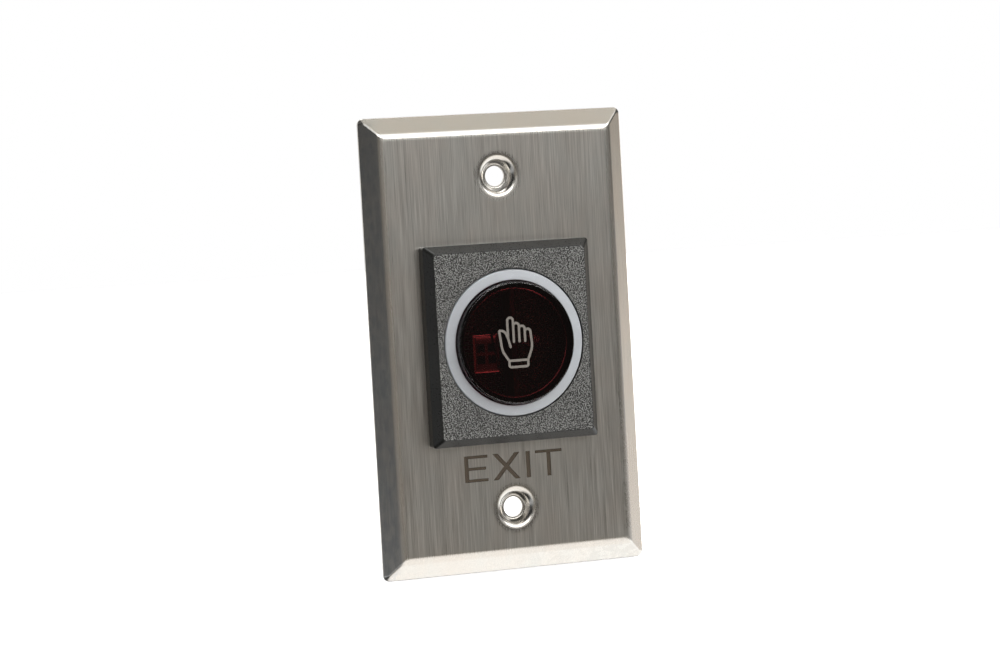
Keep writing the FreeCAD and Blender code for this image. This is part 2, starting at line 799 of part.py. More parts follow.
def relay_board_parts():
    """Regulator and small parts on the relay board, as many as its free rows hold."""
    rows = [(regulator_x, header_z - regulator_gap, regulator_width, regulator_height,
             regulator_thickness)]
    x = -stack_screw_x + relay_row_screw_gap
    while x < regulator_x - regulator_width / 2 - large_part_length / 2:
        rows.append((x, header_z - relay_row_gap, large_part_length, large_part_width, large_part_thickness))
        x += relay_row_pitch
    column_x = relay_x + relay_width / 2 + relay_column_gap
    z = relay_z - relay_column_drop
    while z < header_z - relay_column_header_gap:
        rows.append((column_x, z, small_part_length, small_part_width, small_part_thickness))
        z += relay_column_pitch
    return small_parts(rows, relay_board_rear, 1)


def board_spacers():
    """Tubes that keep the two boards apart."""
    tubes = []
    for x, z in stack_places:
        tube = rod(x, z, spacer_radius, sensor_board_rear, relay_board_front)
        bore = rod(x, z, stack_screw_radius + screw_clearance, sensor_board_rear - cut_margin,
                   relay_board_front + cut_margin)
        tubes.append(tube.cut(bore))
    return Part.makeCompound(tubes)


def pan_screw(x, z, shank, head, head_thick, seat, tip):
    """Screw that points to -Y, with a crossed recess in its rounded head."""
    top = seat + head_thick
    body = turned([(0, tip), (shank, tip), (shank, seat), (head, seat), (head, top), (0, top)],
                  [0, shank * screw_tip_share, 0, 0, head_thick * screw_head_share, 0], x=x, z=z)
    arm = head * screw_recess_share
    half = slot_width / 2
    cross = [box(x - arm, x + arm, top - slot_depth, top + cut_margin, z - half, z + half),
             box(x - half, x + half, top - slot_depth, top + cut_margin, z - arm, z + arm)]
    return cut_all(body, cross)


def board_screws():
    """Screws that hold both boards on the bezel."""
    return Part.makeCompound([
        pan_screw(x, z, stack_screw_radius, stack_head_radius, stack_head_thickness,
                  relay_board_rear, sensor_board_front - stack_bite)
        for x, z in stack_places])


def header_body():
    """Plastic strip between the boards."""
    length = header_ways * header_pitch
    strip = box(-length / 2, length / 2, sensor_board_rear, relay_board_front,
                header_z - header_side / 2, header_z + header_side / 2)
    half = header_pin_side / 2
    slots = [box(x - half, x + half, sensor_board_rear - cut_margin, relay_board_front + cut_margin,
                 header_z - half, header_z + half) for x in header_xs]
    return cut_all(strip, slots)


def header_pins():
    """Square pins through the strip and both boards."""
    half = header_pin_side / 2
    return Part.makeCompound([
        box(x - half, x + half, sensor_board_front - header_pin_tail, relay_board_rear + header_pin_tail,
            header_z - half, header_z + half)
        for x in header_xs])


def component_pins():
    """Places of the solder pins on the relay board."""
    diode_reach = diode_length / 2 + diode_lead_reach
    pins = {
        "relay": [(relay_x + i * relay_pin_x, relay_z + k * relay_pin_z)
                  for i in (-1, 0, 1) for k in (-1, 1)],
        "terminal": [(x, terminal_middle) for x in terminal_xs],
        "capacitor": [(capacitor_x + side * capacitor_pin_x, capacitor_z) for side in (-1, 1)],
        "diode": [(diode_x, diode_z + side * diode_reach) for side in (-1, 1)],
    }
    for name, x in trimmer_places.items():
        low = trimmer_z - trimmer_pin_low
        pins[name] = [(x - trimmer_pin_x, low), (x + trimmer_pin_x, low), (x, trimmer_z + trimmer_pin_high)]
    return pins


def pin_rods(name, start):
    """Pins of one part, through the relay board."""
    end = relay_board_front - component_pin_tail
    half = component_pin_side / 2
    return [box(x - half, x + half, end, start, z - half, z + half) for x, z in component_pins()[name]]


def relay_board():
    """Rear circuit board with every hole its parts need."""
    board = block(board_width, board_height, board_corner_radius, relay_board_front, relay_board_rear)
    holes = [(x, z, stack_screw_radius + screw_clearance) for x, z in stack_places]
    holes += [(x, header_z, pin_hole_radius) for x in header_xs]
    for places in component_pins().values():
        holes += [(x, z, pin_hole_radius) for x, z in places]
    cutters = [rod(x, z, r, relay_board_front - cut_margin, relay_board_rear + cut_margin)
               for x, z, r in holes]
    return cut_all(board, cutters)


def relay():
    """Sealed relay that switches the door."""
    half_w = relay_width / 2
    half_h = relay_height / 2
    body = box(relay_x - half_w, relay_x + half_w, relay_board_rear, relay_board_rear + relay_depth,
               relay_z - half_h, relay_z + half_h)
    upright = [e for e in body.Edges if e.BoundBox.YLength > relay_depth / 2]
    top = edges_at(body, relay_board_rear + relay_depth)
    body = body.makeFillet(relay_corner_radius, upright + top)
    return joined([body] + pin_rods("relay", relay_board_rear + component_pin_root))


def terminal_block():
    """Five-way screw terminal, wires in from below, screws at the rear."""
    body = box(-terminal_width / 2, terminal_width / 2, relay_board_rear, terminal_rear,
               terminal_low, terminal_high)
    chamber_half = terminal_pitch / 2 - terminal_side_wall
    chamber_floor = relay_board_rear + terminal_floor
    cutters = []
    for x in terminal_xs:
        cutters.append(box(x - chamber_half, x + chamber_half, chamber_floor, chamber_floor + chamber_depth,
                           terminal_low - cut_margin, terminal_low + chamber_reach))
        cutters.append(rod(x, terminal_middle, terminal_head_radius + terminal_well_clearance,
                           terminal_rear - terminal_well_depth, terminal_rear + cut_margin))
        cutters.append(rod(x, terminal_middle, terminal_screw_radius + terminal_well_clearance,
                           chamber_floor, terminal_rear))
    body = cut_all(body, cutters)
    return joined([body] + pin_rods("terminal", relay_board_rear + component_pin_root))


def wire_clamps():
    """Metal cages that grip the wires."""
    floor = relay_board_rear + terminal_floor + clamp_clearance
    top = relay_board_rear + terminal_floor + chamber_depth - clamp_clearance
    half = terminal_pitch / 2 - terminal_side_wall - clamp_clearance
    low = terminal_low + clamp_inset
    high = terminal_low + chamber_reach - clamp_clearance
    cages = []
    for x in terminal_xs:
        cage = box(x - half, x + half, floor, top, low, high)
        bore = box(x - half + clamp_wall, x + half - clamp_wall, floor + clamp_wall, top - clamp_wall,
                   low - cut_margin, high + cut_margin)
        hole = rod(x, terminal_middle, terminal_screw_radius + clamp_screw_clearance,
                   top - 2 * clamp_wall, top + cut_margin)
        cages.append(cut_all(cage, [bore, hole]))
    return Part.makeCompound(cages)


def terminal_screws():
    """Slotted screws of the terminal."""
    seat = terminal_rear - terminal_head_inset - terminal_head_thickness
    top = seat + terminal_head_thickness
    screws = []
    for x in terminal_xs:
        profile = [(0, seat - terminal_screw_length), (terminal_screw_radius, seat - terminal_screw_length),
                   (terminal_screw_radius, seat), (terminal_head_radius, seat), (terminal_head_radius, top),
                   (0, top)]
        body = turned(profile, [0, terminal_tip_edge, 0, 0, terminal_head_edge, 0], x=x, z=terminal_middle)
        slot = box(x - terminal_head_radius, x + terminal_head_radius, top - slot_depth, top + cut_margin,
                   terminal_middle - slot_width / 2, terminal_middle + slot_width / 2)
        screws.append(body.cut(slot))
    return Part.makeCompound(screws)


def filter_capacitor():
    """Round can with a pressed groove near its foot."""
    r = capacitor_radius
    foot = relay_board_rear
    top = foot + capacitor_height
    groove = foot + capacitor_groove_height
    profile = [(0, foot), (r, foot), (r, groove - capacitor_groove_half), (r - capacitor_groove, groove),
               (r, groove + capacitor_groove_half), (r, top), (0, top)]
    rounds = [0, capacitor_foot_round, 0, capacitor_groove_round, 0, capacitor_top_round, 0]
    body = turned(profile, rounds, x=capacitor_x, z=capacitor_z)
    return joined([body] + pin_rods("capacitor", foot + component_pin_root))


def protection_diode():
    """Diode lying on the relay board on two bent leads."""
    y = relay_board_rear + diode_radius + diode_standoff
    body = Part.makeCylinder(diode_radius, diode_length, vec(diode_x, y, diode_z - diode_length / 2),
                             vec(0, 0, 1))
    half = component_pin_side / 2
    reach = diode_length / 2 + diode_lead_reach + half
    wire = box(diode_x - half, diode_x + half, y - half, y + half, diode_z - reach, diode_z + reach)
    return joined([body, wire] + pin_rods("diode", y))


def trimmer(name):
    """Square body of one adjuster with a round recess for its rotor."""
    x = trimmer_places[name]
    half = trimmer_side / 2
    top = relay_board_rear + trimmer_height
    body = box(x - half, x + half, relay_board_rear, top, trimmer_z - half, trimmer_z + half)
    recess = rod(x, trimmer_z, rotor_radius + rotor_clearance, top + rotor_proud - rotor_thickness,
                 top + cut_margin)
    return joined([body.cut(recess)] + pin_rods(name, relay_board_rear + component_pin_root))


def rotor(name):
    """Slotted disc that turns in its adjuster."""
    x = trimmer_places[name]
    top = relay_board_rear + trimmer_height + rotor_proud
    disc = rod(x, trimmer_z, rotor_radius, top - rotor_thickness, top)
    disc = disc.makeFillet(rotor_edge_radius, edges_at(disc, top))
    half = rotor_slot_width / 2
    reach = rotor_slot_length / 2
    cross = reach * rotor_cross_share
    floor = top - rotor_slot_depth
    slots = [box(x - half, x + half, floor, top + cut_margin, trimmer_z - reach, trimmer_z + reach),
             box(x - cross, x + cross, floor, top + cut_margin, trimmer_z - half, trimmer_z + half)]
    return cut_all(disc, slots)


def rear_cover():
    """Box over the boards, open where the wires and the adjusters are."""
    body = block(cover_width, cover_height, cover_corner_radius, plate_rear, cover_rear)
    body = body.makeFillet(cover_edge_radius, edges_at(body, cover_rear))
    inner_radius = cover_corner_radius - cover_wall
    hollow = block(cover_width - 2 * cover_wall, cover_height - 2 * cover_wall, inner_radius,
                   plate_rear - cut_margin, cover_ceiling)
    outer = block(cover_width, cover_height, cover_corner_radius, plate_rear, cover_ceiling)
    posts = [rod(x, z, cover_post_radius, plate_rear, cover_ceiling).common(outer) for x, z in cover_places]
    body = joined([body.cut(hollow)] + posts)
    well_radius = cover_head_radius + cover_well_clearance
    beyond = cover_rear + cut_margin
    hole_radius = cover_screw_radius + screw_clearance
    cutters = [rod(x, z, hole_radius, plate_rear - cut_margin, cover_seat + cut_margin)
               for x, z in cover_places]
    cutters += [rod(x, z, well_radius, cover_seat, beyond) for x, z in cover_places]
    side = terminal_width / 2 + terminal_window_clearance
    cutters.append(box(-side, side, relay_board_rear - terminal_window_clearance, beyond,
                       -cover_height / 2 - cut_margin, terminal_high + terminal_window_clearance))
    half = trimmer_side / 2 + trimmer_window_margin
    side = trimmer_spacing / 2 + half
    cutters.append(box(-side, side, cover_ceiling - cut_margin, beyond, trimmer_z - half, trimmer_z + half))
    return cut_all(body, cutters)


def cover_screws():
    """Screws from the rear cover through the plate into the bezel."""
    return Part.makeCompound([
        pan_screw(x, z, cover_screw_radius, cover_head_radius, cover_head_thickness,
                  cover_seat, plate_front - cover_screw_bite)
        for x, z in cover_places])


nodes = {
    "wall_plate": wall_plate,
    "bezel": bezel,
    "light_ring": light_ring,
    "sensor_window": sensor_window,
    "hand_symbol": hand_symbol,
    "light_baffle": light_baffle,
    "sensor_board": sensor_board,
    "sensor_board_parts": sensor_board_parts,
    "ir_emitter": ir_emitter,
    "ir_receiver": ir_receiver,
    "receiver_shield": receiver_shield,
    "ring_leds": ring_leds,
    "controller_chip": controller_chip,
    "board_spacers": board_spacers,
    "board_screws": board_screws,
    "board_header": header_body,
    "header_pins": header_pins,
    "relay_board": relay_board,
    "relay_board_parts": relay_board_parts,
    "relay": relay,
    "terminal_block": terminal_block,
    "wire_clamps": wire_clamps,
    "terminal_screws": terminal_screws,
    "filter_capacitor": filter_capacitor,
    "protection_diode": protection_diode,
    "delay_trimmer": lambda: trimmer("delay"),
    "delay_rotor": lambda: rotor("delay"),
    "distance_trimmer": lambda: trimmer("distance"),
    "distance_rotor": lambda: rotor("distance"),
    "rear_cover": rear_cover,
    "cover_screws": cover_screws,
}

os.makedirs("parts", exist_ok=True)
for name, make in nodes.items():
    shape = make()
    if not shape.isValid():
        raise ValueError(name + " is not a valid solid")
    shape.exportStep("parts/" + name + ".step")
    bound = shape.BoundBox
    print(f"{name:20s} {len(shape.Solids)} solids {shape.Volume:9.2f} mm3  "
          f"y {bound.YMin:.2f} to {bound.YMax:.2f}")
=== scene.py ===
"""Dressed pieces, finishes and studio of a touch-free door exit button on a single wall plate.

The frame gives the places: the front faces -Y, Z points up, and the wall is the plane y = 0.
All lengths are in metres.
"""

import json

import bmesh
import bpy
import numpy as np
from bpy.props import FloatProperty, FloatVectorProperty, PointerProperty
from bpy.types import Operator, Panel, PropertyGroup
from mathutils import Matrix, Vector
from mathutils.geometry import delaunay_2d_cdt


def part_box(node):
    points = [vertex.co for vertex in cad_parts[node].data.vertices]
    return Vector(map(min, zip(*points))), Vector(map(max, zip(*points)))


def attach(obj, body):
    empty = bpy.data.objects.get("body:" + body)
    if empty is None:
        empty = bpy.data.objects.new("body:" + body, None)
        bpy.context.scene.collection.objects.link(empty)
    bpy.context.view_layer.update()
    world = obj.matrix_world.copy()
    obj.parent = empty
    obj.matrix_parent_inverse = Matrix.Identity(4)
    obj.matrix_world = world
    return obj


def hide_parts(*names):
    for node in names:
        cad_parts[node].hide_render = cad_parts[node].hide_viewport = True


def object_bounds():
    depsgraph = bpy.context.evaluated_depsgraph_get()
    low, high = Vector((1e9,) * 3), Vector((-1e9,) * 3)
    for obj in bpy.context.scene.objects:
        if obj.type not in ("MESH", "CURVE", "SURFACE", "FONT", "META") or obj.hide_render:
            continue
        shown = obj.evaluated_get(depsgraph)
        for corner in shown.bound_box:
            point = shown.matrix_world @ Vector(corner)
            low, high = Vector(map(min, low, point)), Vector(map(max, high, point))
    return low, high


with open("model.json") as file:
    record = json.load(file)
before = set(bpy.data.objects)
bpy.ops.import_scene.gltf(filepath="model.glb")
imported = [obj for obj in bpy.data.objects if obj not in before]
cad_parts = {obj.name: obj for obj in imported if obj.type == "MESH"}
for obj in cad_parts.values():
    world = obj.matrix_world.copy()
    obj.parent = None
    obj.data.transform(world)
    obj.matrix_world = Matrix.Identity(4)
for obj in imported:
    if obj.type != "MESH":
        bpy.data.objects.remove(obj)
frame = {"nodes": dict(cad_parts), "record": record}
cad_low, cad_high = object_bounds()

bl_info = {
    "name": "Touch-free Exit Button",
    "version": (1, 0, 0),
    "blender": (4, 5, 0),
    "location": "View3D > Sidebar > Exit Button",
    "description": "Builds the pieces, finishes and studio of a door exit button on a steel wall plate",
    "category": "Object",
}

MM = 0.001
BODIES = {node: body for body, nodes in frame["record"]["behaviour"]["bodies"].items() for node in nodes}
CIRCLE_STEPS = 128
FINE_CIRCLE_STEPS = 256
SMALL_CIRCLE_STEPS = 40
CORNER_STEPS = 8
MITRE_STEPS = 4
SOFT_EDGE_STEPS = 2
MERGE_DISTANCE = 0.0002 * MM
SHARP_ANGLE = np.radians(28)
FLAT_ANGLE = np.radians(0.5)

# Cosine past which two runs count as straight, rise that stands for a level run's, and least gap
# between the points of a flat face in mm.
STRAIGHT_COSINE = 0.999999
LEAST_RISE = 1e-30
TRIANGLE_TOLERANCE = 1e-6

# At 50 all faces round a point count alike in its normal, and at 100 the widest count most.
WIDE_FACES_FIRST = 100

# The range that most of a noise's values lie in.
NOISE_LOW = 0.3
NOISE_HIGH = 0.7

# Inputs of a mix node for its share and two colours, and its output of a colour.
MIX_INPUTS = (0, 6, 7)
MIX_RESULT = 2

# A wave texture's phase grows by twenty radians over each unit.
WAVE_PHASE = 20

# Hatch of the cut letters, and tracks of the boards, with lengths in mm. A row of tracks starts
# later than the row below by the jog's share of a run.
HATCH_SPACING = 0.42
HATCH_ANGLE = np.radians(38)
TRACK_SPACING = 1.1
TRACK_RUN = 3.3
TRACK_WIDTH = 0.14
TRACK_JOG = 0.37

# Finishes of the parts inside and behind
TIN = (0.86, 0.85, 0.83)
SCREW_STEEL = (0.62, 0.61, 0.58)
CLAMP_STEEL = (0.66, 0.64, 0.58)
CLAMP_SCREW_STEEL = (0.68, 0.67, 0.64)
BRASS = (0.80, 0.62, 0.28)
DARK_EPOXY = (0.10, 0.03, 0.05)
CLEAR_RESIN = (0.85, 0.88, 0.92)
BAFFLE_BLACK = (0.012, 0.012, 0.012)
BLACK = (0.02, 0.02, 0.02)
CHIP_BLACK = (0.02, 0.02, 0.022)
SLEEVE_BLACK = (0.015, 0.015, 0.02)
LAMP_WHITE = (0.78, 0.76, 0.66)
ROTOR_WHITE = (0.72, 0.71, 0.66)
FRONT_CERAMIC = (0.30, 0.24, 0.17)
REAR_CERAMIC = (0.05, 0.045, 0.04)


def length(name, millimetres, description):
    """A size that the user can set, held in metres."""
    return FloatProperty(name=name, description=description, default=millimetres * MM,
                         unit="LENGTH", subtype="DISTANCE", precision=5)


def colour(name, value, description):
    """A colour that the user can set."""
    return FloatVectorProperty(name=name, description=description, default=value, size=3,
                               min=0.0, max=1.0, subtype="COLOR")


def factor(name, value, description):
    """A plain number that the user can set."""
    return FloatProperty(name=name, description=description, default=value, min=0.0)


class PlateSizes(PropertyGroup):
    """Sizes of the pressed wall plate."""

    sheet: length("Sheet", 0.8, "Thickness of the sheet")
    rim_lip: length("Rim lip", 0.5, "Upright part of the rim at the wall")
    rim_round: length("Rim rounding", 0.35, "Radius between the lip and the bevel")
    bevel_run: length("Bevel run", 4.7, "Width of the sloping side, seen from the front")
    bend_radius: length("Bend radius", 3.9, "Outer radius between the bevel and the flat")
    corner_radius: length("Corner radius", 1.6, "Radius of the four corners at the wall")
    mitre_radius: length("Mitre radius", 0.55, "Radius of the corners along the bevel")
    mitre_start: length("Mitre start", 1.1, "Inset where the corners have narrowed to the mitre")
    flat_corner: length("Flat corner", 0.9, "Radius of the corners of the flat")
    flat_margin: length("Flat margin", 0.4, "Flat strip kept beside each bend")
    cutout_clearance: length("Cut-out clearance", 0.25, "Gap between the sleeve and the cut-out")
    seat_spacing: length("Seat spacing", 83.3, "Distance between the two screw holes")
    seat_radius: length("Seat radius", 5.5, "Radius where a seat leaves the flat")
    seat_depth: length("Seat depth", 2.2, "Depth of a seat")
    seat_slope: FloatProperty(name="Seat slope", description="Steepness of a seat's wall",
                              default=np.radians(62), unit="ROTATION", subtype="ANGLE")
    seat_shoulder: length("Seat shoulder", 2.1, "Radius of the shoulder of a seat")
    seat_land: length("Seat land", 1.2, "Flat ring round a seat")
    seat_floor_round: length("Seat floor rounding", 0.35, "Radius where the wall meets the floor ring")
    seat_hole_edge: length("Seat hole edge", 0.12, "Radius of the hole's front edge")
    hole_radius: length("Hole radius", 2.5, "Radius of a screw hole")


class WordSizes(PropertyGroup):
    """Sizes of the cut word."""

    height: length("Height", 6.65, "Height of the letters")
    drop: length("Drop", 31.1, "Distance from the plate's centre down to the word's")
    depth: length("Depth", 0.12, "Depth of the cut")
    upright: length("Upright", 1.1, "Width of upright strokes")
    level: length("Level", 0.75, "Width of level strokes")
    slant: length("Slant", 1.41, "Level width of slanting strokes")
    e_left: length("E left", -13.2, "Left edge of the first letter")
    e_right: length("E right", -6.95, "Right edge of the first letter")
    e_middle: length("E middle", 5.75, "Length of the first letter's middle arm")
    x_left: length("X left", -5.65, "Left edge of the second letter")
    x_right: length("X right", 1.65, "Right edge of the second letter")
    i_left: length("I left", 3.3, "Left edge of the third letter")
    t_left: length("T left", 5.8, "Left edge of the fourth letter")
    t_right: length("T right", 13.0, "Right edge of the fourth letter")


class ModuleSizes(PropertyGroup):
    """Sizes of the bezel, its light ring, its window and the tin screen behind it."""

    chamfer_width: length("Chamfer width", 1.9, "Width of the bezel's chamfer, seen from the front")
    chamfer_depth: length("Chamfer depth", 2.4, "Depth of the bezel's chamfer")
    edge_round: length("Edge rounding", 0.25, "Radius of the bezel's edges")
    bezel_corner: length("Bezel corner", 0.8, "Radius of the bezel's corners")
    face_margin: length("Face margin", 0.12, "Smooth strip beside the edges of the face")
    face_wall: length("Face wall", 2.2, "Thickness of the bezel's face")
    sleeve_inset: length("Sleeve inset", 2.0, "Step from the bezel's side to its sleeve")
    sleeve_corner: length("Sleeve corner", 7.0, "Radius of the sleeve's corners")
    sleeve_wall: length("Sleeve wall", 1.0, "Thickness of the sleeve")
    bore_clearance: length("Bore clearance", 0.15, "Gap between the bezel and the light ring")
    bore_round: length("Bore rounding", 0.12, "Radius of the edge round the light ring")
    boss_x: length("Boss x", 15.2, "Sideways place of the boards' screws")
    boss_z: length("Boss z", 18.6, "Upright place of the boards' screws")
    boss_radius: length("Boss radius", 2.3, "Radius of a screw boss")
    boss_bore: length("Boss bore", 1.0, "Radius of a boss's pilot hole")
    boss_bore_depth: length("Boss bore depth", 3.3, "Depth of a boss's pilot hole")
    cover_screw_x: length("Cover screw x", 19.8, "Sideways place of the cover's screws")
    cover_screw_z: length("Cover screw z", 22.8, "Upright place of the cover's screws")
    cover_screw_hole: length("Cover screw hole", 1.25, "Radius of the plate's holes for these screws")
    cover_pilot: length("Cover pilot", 1.05, "Radius of the bezel's pilot holes for these screws")
    cover_pilot_depth: length("Cover pilot depth", 3.5, "Depth of those pilot holes")
    ring_outer: length("Ring outer radius", 18.3, "Outer radius of the light ring")
    ring_inner: length("Ring inner radius", 15.6, "Inner radius of the light ring")
    ring_front_wall: length("Ring front wall", 1.75, "Thickness of the ring's front")
    ring_outer_wall: length("Ring outer wall", 1.1, "Thickness of the ring's outer wall")
    ring_cone: length("Ring cone", 0.45, "How far the ring's front falls back towards its outer edge")
    ring_edge: length("Ring edge", 0.45, "Radius of the ring's outer edge")
    ring_bore_edge: length("Ring bore edge", 0.2, "Radius of the ring's inner edge")
    ring_flange: length("Ring flange", 1.0, "Thickness of the ring's flange")
    window_radius: length("Window radius", 15.4, "Radius of the window at the ring")
    window_draft: length("Window draft", 0.2, "Taper of the window's raised side")
    window_edge: length("Window edge", 0.5, "Radius of the window's front edge")
    window_wall: length("Window wall", 2.0, "Thickness of the window's front")
    window_side_wall: length("Window side wall", 1.6, "Thickness of the window's skirt")
    window_flange: length("Window flange", 1.0, "Thickness of the window's flange")
    screen_wall: length("Screen wall", 0.3, "Thickness of the tin screen")
    screen_window: length("Screen window", 2.5, "Half the width of the tin screen's window")
    screen_cross: length("Screen cross", 0.8, "Width of the cross over that window")
    screen_slope: length("Screen slope", 0.5, "Width of the tin screen's sloping edge")
    screen_slope_depth: length("Screen slope depth", 0.11, "Depth of that edge")
    screen_corner: length("Screen corner", 0.3, "Radius of the tin screen's corners")


class Finishes(PropertyGroup):
    """Colours of the finishes."""

    steel: colour("Steel", (0.605, 0.572, 0.528), "Brushed steel of the plate")
    word: colour("Word", (0.075, 0.058, 0.042), "Dark filling of the cut word")
    bezel: colour("Bezel", (0.013, 0.013, 0.012), "Black plastic of the bezel")
    grain: colour("Grain", (0.245, 0.245, 0.235), "Light specks in the bezel's grain")
    ring: colour("Ring", (0.42, 0.44, 0.465), "Milky plastic of the light ring")
    window: colour("Window", (0.55, 0.03, 0.05), "Dye of the window")
    window_density: factor("Window density", 1000.0, "How strongly the dye takes up light, per metre")
    print_line: colour("Print", (0.19, 0.172, 0.152), "Printed hand sign")
    cover: colour("Cover", (0.018, 0.018, 0.019), "Black plastic of the rear cover")
    board: colour("Board", (0.010, 0.085, 0.030), "Green solder mask")
    terminal: colour("Terminal", (0.02, 0.16, 0.055), "Green plastic of the terminal")
    trimmer: colour("Adjuster", (0.02, 0.10, 0.36), "Blue plastic of the adjusters")
    relay: colour("Relay", (0.015, 0.05, 0.16), "Dark blue case of the relay")


class Studio(PropertyGroup):
    """Camera and light of the studio."""

    camera_place: FloatVectorProperty(name="Camera", description="Place of the camera", size=3,
                                      default=(-0.26138, -0.70751, 0.03814),
                                      unit="LENGTH", subtype="XYZ", precision=5)
    camera_view: FloatVectorProperty(name="View", description="Direction that the camera looks in",
                                     size=3, default=(0.3457, 0.9371, -0.0478), subtype="XYZ")
    camera_down: FloatVectorProperty(name="Down", description="Direction of the picture's lower edge",
                                     size=3, default=(-0.0695, -0.0253, -0.9973), subtype="XYZ")
    lens: factor("Lens", 108.0, "Focal length in millimetres on a 36 mm sensor")
    key_power: factor("Key power", 2.2, "Power of the softbox at the right, in watts")
    top_light: factor("Top light", 2.2, "Strength of the light straight from above")
    room_light: factor("Room light", 1.0, "Strength of the light from all round")
    floor_tone: colour("Floor", (0.9, 0.9, 0.9), "Pale floor")
    floor_glow: factor("Floor glow", 0.25, "Light of its own that keeps the floor white")


class ExitButton(PropertyGroup):
    """All settings of the exit button."""

    plate: PointerProperty(type=PlateSizes)
    word: PointerProperty(type=WordSizes)
    module: PointerProperty(type=ModuleSizes)
    finishes: PointerProperty(type=Finishes)
    studio: PointerProperty(type=Studio)


# Outlines, shells and finished pieces


def rounded(points, radii):
    """Outline with round corners.

    Each corner becomes the arc that touches both its runs: the arc's centre lies on the bisector at
    radius / sin(half angle), and its points turn evenly from one touching point to the other.
    """
    corners = np.array(points, float)
    radii = np.array(radii, float)[:, None]
    back = np.roll(corners, 1, axis=0) - corners
    ahead = np.roll(corners, -1, axis=0) - corners
    back /= np.linalg.norm(back, axis=1, keepdims=True)
    ahead /= np.linalg.norm(ahead, axis=1, keepdims=True)
    cosine = np.clip(np.sum(back * ahead, axis=1, keepdims=True), -STRAIGHT_COSINE, STRAIGHT_COSINE)
    half = np.arccos(cosine) / 2
    bisector = back + ahead
    bisector /= np.linalg.norm(bisector, axis=1, keepdims=True)
    centres = corners + bisector * radii / np.sin(half)
    start = corners + back * radii / np.tan(half) - centres
    end = corners + ahead * radii / np.tan(half) - centres
    sweep = (np.pi - 2 * half)[:, :, None]
    share = np.linspace(0, 1, CORNER_STEPS + 1)[None, :, None]
    arc = np.sin((1 - share) * sweep) * start[:, None] + np.sin(share * sweep) * end[:, None]
    path = (centres[:, None] + arc / np.sin(sweep)).reshape(-1, 2)
    moved = np.linalg.norm(np.diff(path, axis=0), axis=1) > MERGE_DISTANCE
    return path[np.concatenate([[True], moved])]


def divided(path, spacing):
    """The same outline with more points: each run is cut into equal parts no longer than the spacing."""
    parts = np.ceil(np.linalg.norm(np.diff(path, axis=0), axis=1) / spacing).astype(int)
    ends = np.concatenate([[0], np.cumsum(parts)])
    place = np.arange(ends[-1] + 1)
    return np.stack([np.interp(place, ends, path[:, 0]), np.interp(place, ends, path[:, 1])], axis=-1)


def frame_loops(half_width, half_height, radius):
    """Rounded rectangles, one a row: quarter circles about the four corner centres."""
    half_width = np.atleast_1d(half_width)[:, None, None]
    half_height = np.atleast_1d(half_height)[:, None, None]
    radius = np.atleast_1d(radius)[:, None, None]
    quarter = np.arange(4)[:, None]
    angle = np.linspace(0, np.pi / 2, CORNER_STEPS + 1)[None, :] + quarter * np.pi / 2
    side_x = np.array([1, -1, -1, 1])[None, :, None]
    side_z = np.array([1, 1, -1, -1])[None, :, None]
    x = side_x * (half_width - radius) + radius * np.cos(angle)
    z = side_z * (half_height - radius) + radius * np.sin(angle)
    rows = len(half_width)
    return np.stack([x.reshape(rows, -1), z.reshape(rows, -1)], axis=-1)


def circle(radius, x=0.0, z=0.0, steps=CIRCLE_STEPS):
    """Circle as points of x and z."""
    angle = np.linspace(0, 2 * np.pi, steps, endpoint=False)
    return np.stack([x + radius * np.cos(angle), z + radius * np.sin(angle)], axis=-1)


def four_places(x, z):
    """One place and its mirror images across both middle lines."""
    return [(side_x * x, side_z * z) for side_x in (-1, 1) for side_z in (-1, 1)]


def odd_cover(loops, points):
    """Whether each point lies inside an odd number of the loops, by counting the crossings of a ray."""
    crossings = np.zeros(len(points), int)
    x, z = points[:, 0][:, None], points[:, 1][:, None]
    for loop in loops:
        ax, az = loop[:, 0][None], loop[:, 1][None]
        bx, bz = np.roll(ax, -1), np.roll(az, -1)
        rise = np.where(bz == az, LEAST_RISE, bz - az)
        hit = ((az > z) != (bz > z)) & (x < ax + (z - az) * (bx - ax) / rise)
        crossings += hit.sum(axis=1)
    return crossings % 2 == 1


